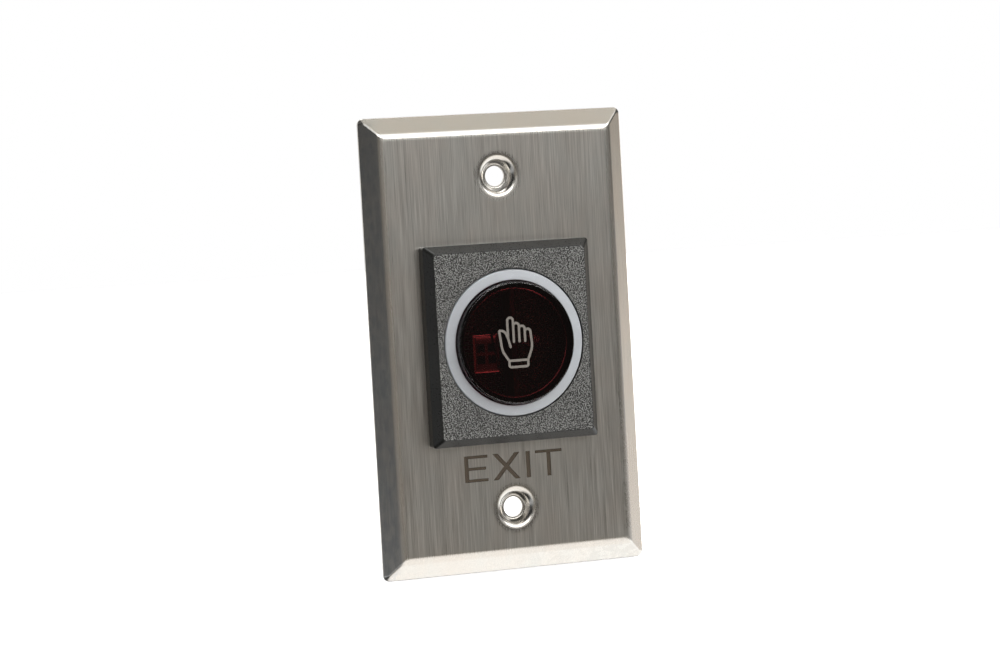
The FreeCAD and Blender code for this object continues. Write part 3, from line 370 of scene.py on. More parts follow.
class Shell:
    """Points and faces of one closed piece, gathered patch by patch."""

    def __init__(self):
        self.points = []
        self.polish = []
        self.faces = []
        self.finish = []
        self.count = 0

    def add(self, points, faces, finish, polish=0.0):
        """A patch with its finish and its share of polish at each point."""
        points = np.asarray(points, float).reshape(-1, 3)
        self.points.append(points)
        self.polish.append(np.broadcast_to(polish, len(points)))
        self.faces.extend((np.asarray(faces) + self.count).tolist())
        self.finish.extend([finish] * len(faces))
        self.count += len(points)

    def wall(self, rows, finish=0, polish=0.0, closed=False):
        """Quads over a grid of points, with each row closed into a loop.

        The last row is joined to the first where the grid is closed.
        """
        high, wide = rows.shape[:2]
        upper = np.arange(high if closed else high - 1)[:, None]
        column = np.arange(wide)[None, :]
        lower = (upper + 1) % high
        after = (column + 1) % wide
        above, below = upper * wide, lower * wide
        quads = [above + column, above + after, below + after, below + column]
        if np.ndim(polish):
            polish = np.repeat(polish, wide)
        self.add(rows, np.stack(quads, axis=-1).reshape(-1, 4), finish, polish)

    def flat(self, loops, y, finish=0):
        """Flat face between outlines: the Delaunay triangles that an odd number of outlines cover."""
        corners = np.concatenate(loops)
        counts = [len(loop) for loop in loops]
        starts = np.cumsum([0] + counts[:-1])
        edges = []
        for count, start in zip(counts, starts):
            here = np.arange(count)
            edges.append(np.stack([here, (here + 1) % count], axis=-1) + start)
        given = [Vector(point) for point in corners / MM]
        made = delaunay_2d_cdt(given, np.concatenate(edges).tolist(), [], 0, TRIANGLE_TOLERANCE)
        places = np.array([tuple(point) for point in made[0]]) * MM
        triangles = np.array(made[2])
        kept = odd_cover(loops, places[triangles].mean(axis=1))
        points = np.stack([places[:, 0], np.full(len(places), y), places[:, 1]], axis=-1)
        self.add(points, triangles[kept], finish)

    def turned(self, profile, x=0.0, z=0.0, steps=CIRCLE_STEPS, finish=0, polish=0.0, closed=False):
        """Profile of radius and y carried round an axis along Y."""
        angle = np.linspace(0, 2 * np.pi, steps, endpoint=False)[None, :]
        radius = profile[:, 0][:, None]
        level = np.broadcast_to(profile[:, 1][:, None], (len(profile), steps))
        rows = np.stack([x + radius * np.cos(angle), level, z + radius * np.sin(angle)], axis=-1)
        self.wall(rows, finish, polish, closed)

    def framed(self, profile, width, height, radius, finish=0, polish=0.0, centre=(0.0, 0.0)):
        """Profile of inset and y carried round a rounded rectangle."""
        inset = profile[:, 0]
        loops = frame_loops(width / 2 - inset, height / 2 - inset, radius) + np.array(centre)
        level = np.broadcast_to(profile[:, 1][:, None], loops.shape[:2])
        self.wall(np.stack([loops[..., 0], level, loops[..., 1]], axis=-1), finish, polish)

    def upright(self, loop, start, end, finish=0):
        """Wall along Y over an outline of x and z."""
        level = np.array([start, end])[:, None] * np.ones(len(loop))
        sides = np.broadcast_to(loop[None], (2,) + loop.shape)
        self.wall(np.stack([sides[..., 0], level, sides[..., 1]], axis=-1), finish)

    def build(self, name, materials):
        """The finished object, with its doubles merged and its faces outward."""
        mesh = bpy.data.meshes.new(name)
        mesh.from_pydata(np.concatenate(self.points).tolist(), [], self.faces)
        for material in materials:
            mesh.materials.append(material)
        mesh.polygons.foreach_set("material_index", self.finish)
        share = mesh.attributes.new("polish", "FLOAT", "POINT")
        share.data.foreach_set("value", np.concatenate(self.polish).astype(np.float32))
        return finished(name, mesh, recalculate=True)


def finished(name, mesh, recalculate, softness=0.0):
    """Object from a mesh: doubles merged, shaded smooth between soft angles and even on wide faces.

    A mesh that needs no new normals is a copy: the triangles of its flat faces are joined, and its
    edges may be softened.
    """
    work = bmesh.new()
    work.from_mesh(mesh)
    bmesh.ops.remove_doubles(work, verts=work.verts, dist=MERGE_DISTANCE)
    if recalculate:
        bmesh.ops.recalc_face_normals(work, faces=work.faces)
    else:
        bmesh.ops.dissolve_limit(work, angle_limit=FLAT_ANGLE, verts=work.verts, edges=work.edges)
    if softness:
        folds = [edge for edge in work.edges if edge.is_manifold]
        crisp = [edge for edge in folds if edge.calc_face_angle() > SHARP_ANGLE]
        bmesh.ops.bevel(work, geom=crisp, offset=softness, segments=SOFT_EDGE_STEPS, profile=0.5,
                        affect="EDGES", clamp_overlap=True)
    work.to_mesh(mesh)
    work.free()
    mesh.polygons.foreach_set("use_smooth", np.ones(len(mesh.polygons), bool))
    mesh.set_sharp_from_angle(angle=SHARP_ANGLE)
    piece = bpy.data.objects.new(name, mesh)
    bpy.context.scene.collection.objects.link(piece)
    even = piece.modifiers.new("even shading", "WEIGHTED_NORMAL")
    even.keep_sharp = True
    even.weight = WIDE_FACES_FIRST
    return piece


def settle(piece, node):
    """The piece stands for a node of the frame: it rides on that node's body, and the node is hidden."""
    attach(piece, BODIES[node])
    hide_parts(node)


def moulded_copy(node, name, material, softness=0.0):
    """Smooth piece from a node's own mesh, whose edges may be softened by some millimetres."""
    mesh = frame["nodes"][node].data.copy()
    mesh.name = name
    mesh.materials.clear()
    mesh.materials.append(material)
    settle(finished(name, mesh, recalculate=False, softness=softness * MM), node)


def paint(node, material):
    """A node of the frame keeps its shape and gets a finish."""
    for slot in frame["nodes"][node].material_slots:
        slot.material = material


# Finishes


class Graph:
    """Adds shader nodes to one tree and joins them."""

    def __init__(self, tree):
        self.tree = tree
        tree.nodes.clear()

    def feed(self, socket, value):
        """Joins a socket to another one, or sets its value."""
        if isinstance(value, bpy.types.NodeSocket):
            self.tree.links.new(value, socket)
        else:
            socket.default_value = value

    def add(self, kind, inputs=(), **settings):
        """A node with its settings and inputs."""
        node = self.tree.nodes.new("ShaderNode" + kind)
        for key, value in settings.items():
            setattr(node, key, value)
        for key, value in dict(inputs).items():
            self.feed(node.inputs[key], value)
        return node

    def math(self, operation, *values):
        """A sum, product or other operation on numbers."""
        node = self.add("Math", operation=operation)
        for socket, value in zip(node.inputs, values):
            self.feed(socket, value)
        return node.outputs[0]

    def spread(self, value, low, high, start=0.0, end=1.0):
        """A number moved from one range to another, held at its ends."""
        node = self.add("MapRange", {"Value": value, "From Min": low, "From Max": high,
                                     "To Min": start, "To Max": end}, clamp=True)
        return node.outputs["Result"]

    def mix(self, share, first, second, blend="MIX"):
        """A colour between two colours."""
        node = self.add("Mix", data_type="RGBA", blend_type=blend)
        for place, value in zip(MIX_INPUTS, (share, first, second)):
            if hasattr(value, "__len__") and len(value) == 3:
                value = (*value, 1.0)
            self.feed(node.inputs[place], value)
        return node.outputs[MIX_RESULT]

    def follow(self, noise, start, end):
        """A number that goes from start to end over the usual range of a noise."""
        return self.spread(noise, NOISE_LOW, NOISE_HIGH, start, end)

    def swing(self, noise, share):
        """How far a noise lies from its middle, times a share."""
        return self.math("MULTIPLY", self.math("SUBTRACT", noise, 0.5), share)

    def varied(self, noise, tone, dark, light):
        """A colour that goes from a dark to a light shade of a tone with a noise."""
        return self.mix(self.follow(noise, 0.0, 1.0), shade(tone, dark), shade(tone, light))

    def grain(self, *sizes, detail=2.0, rough=0.5, distortion=0.0):
        """Noise over object coordinates, with grains of one size, or one each along x, y and z, in mm."""
        sizes = sizes * 3 if len(sizes) == 1 else sizes
        place = self.add("TexCoord").outputs["Object"]
        fineness = tuple(1 / (size * MM) for size in sizes)
        scaled = self.add("Mapping", {"Vector": place, "Scale": fineness})
        noise = self.add("TexNoise", {"Vector": scaled.outputs[0], "Scale": 1.0, "Detail": detail,
                                      "Roughness": rough, "Distortion": distortion})
        return noise.outputs[0]

    def bump(self, height, strength, distance):
        """A normal from a height, whose full rise is a distance in mm."""
        node = self.add("Bump", {"Height": height, "Strength": strength, "Distance": distance * MM})
        return node.outputs[0]


def new_material(name, constants):
    """A material with one principled shader, whose even values are set on its own sockets."""
    material = bpy.data.materials.new(name)
    material.use_nodes = True
    graph = Graph(material.node_tree)
    shader = graph.add("BsdfPrincipled", constants)
    graph.output = graph.add("OutputMaterial", {"Surface": shader.outputs["BSDF"]})
    return material, graph, shader


def solid(value):
    """A colour with full alpha."""
    return (value[0], value[1], value[2], 1.0)


def shade(value, share):
    """A colour made lighter or darker by a share, never above white."""
    return tuple(min(1.0, channel * share) for channel in value)


def brushed_steel(tone):
    """Steel brushed along Z.

    Fine streaks with some wide ones, smoother where it is bent, cooler in clouds, hazy on the left
    side and stained at the lower right.
    """
    cool = (0.955, 0.985, 1.0)
    haze_tone = (0.34, 0.36, 0.39)
    material, graph, shader = new_material("brushed_steel", {"Metallic": 1.0, "Anisotropic": 0.5})
    fine = graph.grain(0.14, 0.14, 12, detail=2.0, rough=0.6)
    wide = graph.grain(0.6, 0.6, 30, detail=2.0)
    cloud = graph.grain(7, 7, 12, detail=3.0)
    stain = graph.grain(2.6, 2.6, 2.0, detail=4.0, rough=0.6, distortion=0.8)
    mottle = graph.grain(1.4, 1.4, 3.0, detail=4.0, rough=0.6)
    polish = graph.add("Attribute", attribute_name="polish").outputs["Fac"]
    calm = graph.math("SUBTRACT", 1.0, graph.math("MULTIPLY", polish, 0.65))
    streak = graph.math("ADD", graph.swing(fine, 1.7), graph.swing(wide, 0.15))
    streak = graph.math("MULTIPLY", streak, calm)
    blotch = graph.swing(cloud, 0.16)
    level = graph.spread(graph.math("ADD", streak, blotch), -0.5, 0.5)
    base = graph.mix(level, shade(tone, 0.74), shade(tone, 1.26))
    base = graph.mix(graph.spread(cloud, 0.35, 0.65), base, graph.mix(1.0, base, cool, "MULTIPLY"))
    place = graph.add("SeparateXYZ", {"Vector": graph.add("TexCoord").outputs["Object"]})
    low = graph.spread(place.outputs["Z"], -8 * MM, -52 * MM)
    aside = graph.spread(place.outputs["X"], -10 * MM, 32 * MM)
    worn = graph.math("MULTIPLY", graph.math("MULTIPLY", low, aside), polish)
    mark = graph.math("MULTIPLY", graph.spread(stain, 0.47, 0.53), worn)
    base = graph.mix(graph.math("MULTIPLY", mark, 0.2), base, shade(tone, 0.70))
    left = graph.math("MULTIPLY", graph.spread(place.outputs["X"], -30 * MM, -32 * MM), 0.34)
    haze = graph.math("MULTIPLY", graph.spread(mottle, 0.40, 0.62), left)
    base = graph.mix(haze, base, haze_tone)
    graph.feed(shader.inputs["Base Color"], base)
    rough = graph.math("ADD", graph.math("MULTIPLY", streak, 0.10), 0.32)
    rough = graph.math("SUBTRACT", rough, graph.math("MULTIPLY", polish, 0.08))
    rough = graph.math("ADD", rough, graph.math("MULTIPLY", mark, 0.06))
    graph.feed(shader.inputs["Roughness"], rough)
    graph.feed(shader.inputs["Normal"], graph.bump(streak, 0.16, 0.02))
    across = graph.add("CombineXYZ", {"X": 1.0})
    graph.feed(shader.inputs["Tangent"], across.outputs[0])
    return material


def cut_filling(tone):
    """Dark, dull floor and walls of the cut letters, hatched by the cutting beam."""
    material, graph, shader = new_material("cut_filling", {"Metallic": 0.35, "Specular IOR Level": 0.3})
    place = graph.add("TexCoord").outputs["Object"]
    leaning = graph.add("Mapping", {"Vector": place, "Rotation": (0.0, HATCH_ANGLE, 0.0)})
    fineness = 2 * np.pi / (WAVE_PHASE * HATCH_SPACING * MM)
    hatch = graph.add("TexWave", {"Vector": leaning.outputs[0], "Scale": fineness, "Distortion": 1.2,
                                  "Detail": 1.0})
    speck = graph.grain(0.12, detail=3.0)
    tooth = graph.math("ADD", graph.math("MULTIPLY", hatch.outputs["Fac"], 0.6),
                       graph.math("MULTIPLY", speck, 0.4))
    graph.feed(shader.inputs["Base Color"],
               graph.mix(graph.spread(tooth, 0.2, 0.8), shade(tone, 0.55), shade(tone, 1.5)))
    graph.feed(shader.inputs["Roughness"], graph.follow(speck, 0.5, 0.75))
    graph.feed(shader.inputs["Normal"], graph.bump(tooth, 0.4, 0.03))
    return material


def grained_plastic(tone, speck_tone):
    """Black plastic with a coarse eroded grain that catches light in specks."""
    material, graph, shader = new_material("grained_plastic", {"IOR": 1.5})
    grain = graph.grain(0.28, detail=1.0, rough=0.5)
    drift = graph.grain(5, detail=2.0)
    speck = graph.math("MULTIPLY", graph.spread(grain, 0.49, 0.58),
                       graph.spread(drift, 0.2, 0.8, 0.75, 1.1))
    graph.feed(shader.inputs["Base Color"], graph.mix(speck, shade(tone, 0.6), speck_tone))
    graph.feed(shader.inputs["Roughness"], graph.spread(grain, 0.35, 0.7, 0.7, 0.42))
    graph.feed(shader.inputs["Normal"], graph.bump(grain, 1.0, 0.10))
    return material


def plain_plastic(name, tone, rough=0.36, grain_size=0.3, relief=0.01, gloss=0.5):
    """Moulded plastic with a faint texture and small changes of gloss."""
    material, graph, shader = new_material(name, {"IOR": 1.5, "Specular IOR Level": gloss})
    texture = graph.grain(grain_size, detail=3.0)
    drift = graph.grain(6, detail=2.0)
    graph.feed(shader.inputs["Base Color"], graph.varied(drift, tone, 0.85, 1.18))
    graph.feed(shader.inputs["Roughness"], graph.follow(texture, rough * 0.85, rough * 1.2))
    graph.feed(shader.inputs["Normal"], graph.bump(texture, 0.35, relief))
    return material


def milky_plastic(tone):
    """Translucent diffuser of the light ring."""
    material, graph, shader = new_material("milky_plastic", {
        "IOR": 1.49, "Subsurface Weight": 0.35, "Subsurface Scale": 0.9 * MM,
        "Subsurface Radius": (1.0, 1.0, 1.0)})
    drift = graph.grain(4, detail=2.0)
    dust = graph.grain(0.16, detail=1.0)
    base = graph.varied(drift, tone, 0.96, 1.03)
    base = graph.mix(graph.spread(dust, 0.72, 0.8), base, (0.9, 0.92, 0.94))
    graph.feed(shader.inputs["Base Color"], base)
    graph.feed(shader.inputs["Roughness"], graph.follow(dust, 0.28, 0.4))
    graph.feed(shader.inputs["Normal"], graph.bump(dust, 0.12, 0.02))
    return material


def tinted_window(depth_tone, density):
    """Clear plastic, dyed through its thickness with a red so deep that it looks black."""
    material, graph, shader = new_material("tinted_window", {"IOR": 1.49, "Transmission Weight": 1.0})
    drift = graph.grain(7, detail=2.0)
    graph.feed(shader.inputs["Base Color"],
               graph.mix(graph.follow(drift, 0.0, 1.0), (0.93, 0.88, 0.89), (1.0, 0.95, 0.96)))
    graph.feed(shader.inputs["Roughness"], graph.follow(drift, 0.004, 0.01))
    dye = graph.add("VolumeAbsorption", {"Color": solid(depth_tone), "Density": density})
    graph.feed(graph.output.inputs["Volume"], dye.outputs[0])
    return material


def printed_ink(tone):
    """Matt ink with an uneven edge of tone."""
    material, graph, shader = new_material("printed_ink", {"IOR": 1.45})
    speck = graph.grain(0.12, detail=2.0)
    graph.feed(shader.inputs["Base Color"], graph.varied(speck, tone, 0.9, 1.08))
    graph.feed(shader.inputs["Roughness"], graph.follow(speck, 0.5, 0.65))
    return material


def bare_metal(name, tone, rough, scratch=0.25):
    """Plated or tinned metal with fine scratches."""
    material, graph, shader = new_material(name, {"Metallic": 1.0})
    scuff = graph.grain(0.25, 0.25, 0.9, detail=3.0)
    graph.feed(shader.inputs["Base Color"], graph.varied(scuff, tone, 0.85, 1.1))
    graph.feed(shader.inputs["Roughness"], graph.follow(scuff, rough * 0.8, rough * 1.3))
    graph.feed(shader.inputs["Normal"], graph.bump(scuff, scratch, 0.01))
    return material


def solder_mask(name, tone):
    """Circuit board: lacquer over raised tracks, which are the joints of a wall of long bricks."""
    material, graph, shader = new_material(name, {"IOR": 1.55})
    place = graph.add("TexCoord").outputs["Object"]
    upright = graph.add("Mapping", {"Vector": place, "Rotation": (np.radians(90), 0.0, 0.0)})
    track = graph.add("TexBrick", {"Vector": upright.outputs[0], "Scale": 1 / MM,
                                   "Mortar Size": TRACK_WIDTH, "Mortar Smooth": 0.1,
                                   "Brick Width": TRACK_RUN, "Row Height": TRACK_SPACING},
                      offset=TRACK_JOG).outputs["Fac"]
    weave = graph.grain(0.5, detail=2.0)
    base = graph.varied(weave, tone, 0.85, 1.15)
    graph.feed(shader.inputs["Base Color"], graph.mix(track, base, shade(tone, 2.1)))
    graph.feed(shader.inputs["Roughness"], graph.follow(weave, 0.2, 0.32))
    graph.feed(shader.inputs["Normal"], graph.bump(track, 0.6, 0.035))
    return material


def clear_lens(name, tone, rough):
    """Clear or dyed resin of a lamp or a sensor."""
    material, graph, shader = new_material(name, {"IOR": 1.52, "Transmission Weight": 0.85})
    drift = graph.grain(1.5, detail=1.0)
    graph.feed(shader.inputs["Base Color"], graph.varied(drift, tone, 0.9, 1.05))
    graph.feed(shader.inputs["Roughness"], graph.follow(drift, rough, rough * 1.6))
    return material


# Operators


def settings(context):
    """The exit button's settings."""
    return context.scene.exit_button


def front_of(node):
    """The y of a node's foremost face."""
    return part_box(node)[0].y


def letter_outlines(word):
    """Outlines of E, X, I and T as points of x and z, worked out from their strokes."""
    low = -word.drop - word.height / 2
    high = low + word.height
    middle = -word.drop
    bar = word.level / 2
    left = word.e_left
    stem = left + word.upright
    arm = left + word.e_middle
    right = word.e_right
    letter_e = [(left, low), (right, low), (right, low + word.level), (stem, low + word.level),
                (stem, middle - bar), (arm, middle - bar), (arm, middle + bar), (stem, middle + bar),
                (stem, high - word.level), (right, high - word.level), (right, high), (left, high)]
    left, right, foot = word.x_left, word.x_right, word.slant
    centre = (left + right) / 2
    waist = (right - left - foot) / 2
    notch = word.height * (centre - left - foot) / (right - left - foot)
    letter_x = [(left, low), (left + foot, low), (centre, low + notch), (right - foot, low), (right, low),
                (right - waist, middle), (right, high), (right - foot, high), (centre, high - notch),
                (left + foot, high), (left, high), (left + waist, middle)]
    left = word.i_left
    stem = left + word.upright
    letter_i = [(left, low), (stem, low), (stem, high), (left, high)]
    left, right = word.t_left, word.t_right
    side = (left + right - word.upright) / 2
    stem = side + word.upright
    letter_t = [(side, low), (stem, low), (stem, high - word.level), (right, high - word.level),
                (right, high), (left, high), (left, high - word.level), (side, high - word.level)]
    return [np.array(letter) for letter in (letter_e, letter_x, letter_i, letter_t)]


class EXITBUTTON_OT_wall_plate(Operator):
    """Pressed steel plate with bevelled sides, two screw seats and the cut word"""

    bl_idname = "exit_button.wall_plate"
    bl_label = "Wall Plate"

    def execute(self, context):
        sizes = settings(context).plate
        word = settings(context).word
        module = settings(context).module
        low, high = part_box("wall_plate")
        width, height = high.x - low.x, high.z - low.z
        front, wall = low.y, high.y
        rear = front + sizes.sheet
        shell = Shell()
        front_edge, rear_edge = self.rim(shell, sizes, width, height, front, rear, wall)
        holes = self.openings(shell, sizes, module, front, rear)
        self.seats(shell, sizes, front, rear)
        letters = letter_outlines(word)
        deep = front + word.depth
        for letter in letters:
            shell.upright(letter, front, deep, finish=1)
            shell.flat([letter], deep, finish=1)
        shell.flat([front_edge] + holes + letters, front)
        shell.flat([rear_edge] + holes, rear)
        finishes = settings(context).finishes
        looks = [brushed_steel(finishes.steel), cut_filling(finishes.word)]
        settle(shell.build("pressed_plate", looks), "wall_plate")
        return {"FINISHED"}

    def rim(self, shell, sizes, width, height, front, rear, wall):
        """Outer and inner side of the rim as one profile of inset and y, round the plate.

        Returns the edges that it leaves for the flat's front and rear.
        """
        lip = wall - sizes.rim_lip
        drop = lip - front
        slope = np.hypot(sizes.bevel_run, drop)
        inner = sizes.sheet * slope / drop
        inner_run = inner + sizes.bevel_run * (lip - rear) / drop
        turn = np.arctan2(drop, sizes.bevel_run)
        reach = np.tan(turn / 2)
        front_inset = sizes.bevel_run + sizes.bend_radius * reach + sizes.flat_margin
        rear_bend = sizes.bend_radius - sizes.sheet
        rear_inset = inner_run + rear_bend * reach + sizes.flat_margin
        corners = [(front_inset, front), (sizes.bevel_run, front), (0, lip), (0, wall), (inner, wall),
                   (inner, lip), (inner_run, rear), (rear_inset, rear)]
        radii = [0, sizes.bend_radius, sizes.rim_round, 0, 0, 0, rear_bend, 0]
        profile = divided(rounded(corners, radii), sizes.mitre_start / MITRE_STEPS)
        run = np.clip(1 - (profile[:, 0] - sizes.bevel_run) / (front_inset - sizes.bevel_run), 0, 1)
        insets = [0, sizes.mitre_start, sizes.bevel_run, front_inset]
        bends = [sizes.corner_radius, sizes.mitre_radius, sizes.mitre_radius, sizes.flat_corner]
        corner = np.interp(profile[:, 0], insets, bends)
        shell.framed(profile, width, height, corner, polish=run)
        front_edge = frame_loops(width / 2 - front_inset, height / 2 - front_inset, corner[0])[0]
        rear_edge = frame_loops(width / 2 - rear_inset, height / 2 - rear_inset, corner[-1])[0]
        return front_edge, rear_edge

    def openings(self, shell, sizes, module, front, rear):
        """Cut-out for the sleeve, holes for the cover's screws and the circles of the seats."""
        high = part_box("bezel")[1]
        gap = sizes.cutout_clearance - module.sleeve_inset
        corner = module.sleeve_corner + sizes.cutout_clearance
        cutout = frame_loops(high.x + gap, high.z + gap, corner)[0]
        walls = [cutout]
        for x, z in four_places(module.cover_screw_x, module.cover_screw_z):
            walls.append(circle(module.cover_screw_hole, x, z, SMALL_CIRCLE_STEPS))
        for loop in walls:
            shell.upright(loop, front, rear)
        reach = sizes.seat_radius + sizes.seat_land
        seats = [circle(reach, 0, side * sizes.seat_spacing / 2) for side in (-1, 1)]
        return walls + seats

    def seats(self, shell, sizes, front, rear):
        """Pressed screw seats, turned from one profile: round shoulder, steep wall, ring at the hole."""
        outer = sizes.seat_radius + sizes.seat_land
        floor = front + sizes.seat_depth
        reach = np.tan(sizes.seat_slope / 2)
        shoulder = sizes.seat_radius - sizes.seat_shoulder * reach
        foot = shoulder - sizes.seat_depth / np.tan(sizes.seat_slope)
        shift = sizes.sheet * reach
        corners = [(outer, front), (shoulder, front), (foot, floor), (sizes.hole_radius, floor),
                   (sizes.hole_radius, floor + sizes.sheet), (foot + shift, floor + sizes.sheet),
                   (shoulder + shift, rear), (outer, rear)]
        radii = [0, sizes.seat_shoulder, sizes.seat_floor_round, sizes.seat_hole_edge, 0,
                 sizes.seat_floor_round + sizes.sheet, sizes.seat_shoulder - sizes.sheet, 0]
        profile = rounded(corners, radii)
        polish = np.clip((outer - profile[:, 0]) / sizes.seat_land, 0, 1)
        for side in (-1, 1):
            shell.turned(profile, 0, side * sizes.seat_spacing / 2, polish=polish)


class EXITBUTTON_OT_bezel(Operator):
    """Square black frame with a grained face, a round opening and a sleeve behind"""

    bl_idname = "exit_button.bezel"
    bl_label = "Bezel"

    def execute(self, context):
        sizes = settings(context).module
        low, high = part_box("bezel")
        width, height = high.x - low.x, high.z - low.z
        face = low.y
        shoulder = face + sizes.chamfer_depth
        back = front_of("wall_plate")
        sleeve_end = front_of("rear_cover")
        ceiling = face + sizes.face_wall
        bore = sizes.ring_outer + sizes.bore_clearance
        shell = Shell()
        inset = sizes.chamfer_width + sizes.face_margin
        side = rounded([(inset, face), (sizes.chamfer_width, face), (0, shoulder), (0, back)],
                       [0, sizes.edge_round, sizes.edge_round, 0])
        shell.framed(side, width, height, sizes.bezel_corner, finish=1)
        lip = bore + sizes.face_margin
        shell.turned(rounded([(lip, face), (bore, face), (bore, ceiling)], [0, sizes.bore_round, 0]),
                     finish=1)
        face_edge = frame_loops(width / 2 - inset, height / 2 - inset, sizes.bezel_corner)[0]
        shell.flat([face_edge, circle(lip)], face)
        outer = frame_loops(width / 2, height / 2, sizes.bezel_corner)[0]
        half_x, half_z = width / 2 - sizes.sleeve_inset, height / 2 - sizes.sleeve_inset
        sleeve = frame_loops(half_x, half_z, sizes.sleeve_corner)[0]
        cavity = frame_loops(half_x - sizes.sleeve_wall, half_z - sizes.sleeve_wall,
                             sizes.sleeve_corner - sizes.sleeve_wall)[0]
        pilots = self.sockets(shell, sizes.cover_screw_x, sizes.cover_screw_z, sizes.cover_pilot,
                              back, back - sizes.cover_pilot_depth)
        shell.flat([outer, sleeve] + pilots, back, finish=1)
        shell.upright(sleeve, back, sleeve_end, finish=1)
        shell.flat([sleeve, cavity], sleeve_end, finish=1)
        shell.upright(cavity, sleeve_end, ceiling, finish=1)
        bosses = self.bosses(shell, sizes, ceiling, high.y)
        shell.flat([cavity, circle(bore)] + bosses, ceiling, finish=1)
        finishes = settings(context).finishes
        smooth = plain_plastic("bezel_plastic", finishes.bezel, rough=0.3, grain_size=0.35, relief=0.012,
                               gloss=0.32)
        piece = shell.build("bezel_frame", [grained_plastic(finishes.bezel, finishes.grain), smooth])
        settle(piece, "bezel")
        return {"FINISHED"}

    def sockets(self, shell, x, z, radius, start, end):
        """Four blind holes; returns the circles of their mouths."""
        mouths = []
        for place_x, place_z in four_places(x, z):
            mouth = circle(radius, place_x, place_z, SMALL_CIRCLE_STEPS)
            shell.upright(mouth, start, end, finish=1)
            shell.flat([mouth], end, finish=1)
            mouths.append(mouth)
        return mouths

    def bosses(self, shell, sizes, ceiling, end):
        """Four tubes that the boards' screws bite into; returns the circles of their feet."""
        radius, bore, bottom = sizes.boss_radius, sizes.boss_bore, end - sizes.boss_bore_depth
        profile = np.array([(radius, ceiling), (radius, end), (bore, end), (bore, bottom), (0, bottom)])
        feet = []
        for x, z in four_places(sizes.boss_x, sizes.boss_z):
            shell.turned(profile, x, z, SMALL_CIRCLE_STEPS, finish=1)
            feet.append(circle(radius, x, z, SMALL_CIRCLE_STEPS))
        return feet


class EXITBUTTON_OT_light_ring(Operator):
    """Milky ring round the window, with a flange behind the bezel"""

    bl_idname = "exit_button.light_ring"
    bl_label = "Light Ring"

    def execute(self, context):
        sizes = settings(context).module
        low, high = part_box("light_ring")
        front, rear = low.y, high.y
        lip_rear = front + sizes.ring_front_wall
        ledge = rear - sizes.ring_flange
        hollow = sizes.ring_outer - sizes.ring_outer_wall
        inner, outer = sizes.ring_inner, sizes.ring_outer
        corners = [(inner, front), (outer, front + sizes.ring_cone), (outer, ledge), (high.z, ledge),
                   (high.z, rear), (hollow, rear), (hollow, lip_rear), (inner, lip_rear)]
        profile = rounded(corners, [sizes.ring_bore_edge, sizes.ring_edge, 0, 0, 0, 0, 0, 0])
        shell = Shell()
        shell.turned(profile, closed=True, steps=FINE_CIRCLE_STEPS)
        # The flange is cut off flat at both sides.
        shell.points[0][:, 0] = np.clip(shell.points[0][:, 0], low.x, high.x)
        piece = shell.build("diffuser_ring", [milky_plastic(settings(context).finishes.ring)])
        settle(piece, "light_ring")
        return {"FINISHED"}


class EXITBUTTON_OT_sensor_window(Operator):
    """Dark red window that stands proud of the ring, with its printed hand sign"""

    bl_idname = "exit_button.sensor_window"
    bl_label = "Sensor Window"

    def execute(self, context):
        sizes = settings(context).module
        finishes = settings(context).finishes
        low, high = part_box("sensor_window")
        front, rear = low.y, high.y
        ceiling = front + sizes.window_wall
        ledge = rear - sizes.window_flange
        hollow = sizes.window_radius - sizes.window_side_wall
        corners = [(0, front), (sizes.window_radius - sizes.window_draft, front),
                   (sizes.window_radius, front_of("light_ring")), (sizes.window_radius, ledge),
                   (high.x, ledge), (high.x, rear), (hollow, rear), (hollow, ceiling), (0, ceiling)]
        radii = [0, sizes.window_edge, 0, 0, 0, 0, 0, sizes.window_edge, 0]
        shell = Shell()
        shell.turned(rounded(corners, radii), steps=FINE_CIRCLE_STEPS)
        piece = shell.build("window_cap", [tinted_window(finishes.window, finishes.window_density)])
        settle(piece, "sensor_window")
        paint("hand_symbol", printed_ink(finishes.print_line))
        return {"FINISHED"}


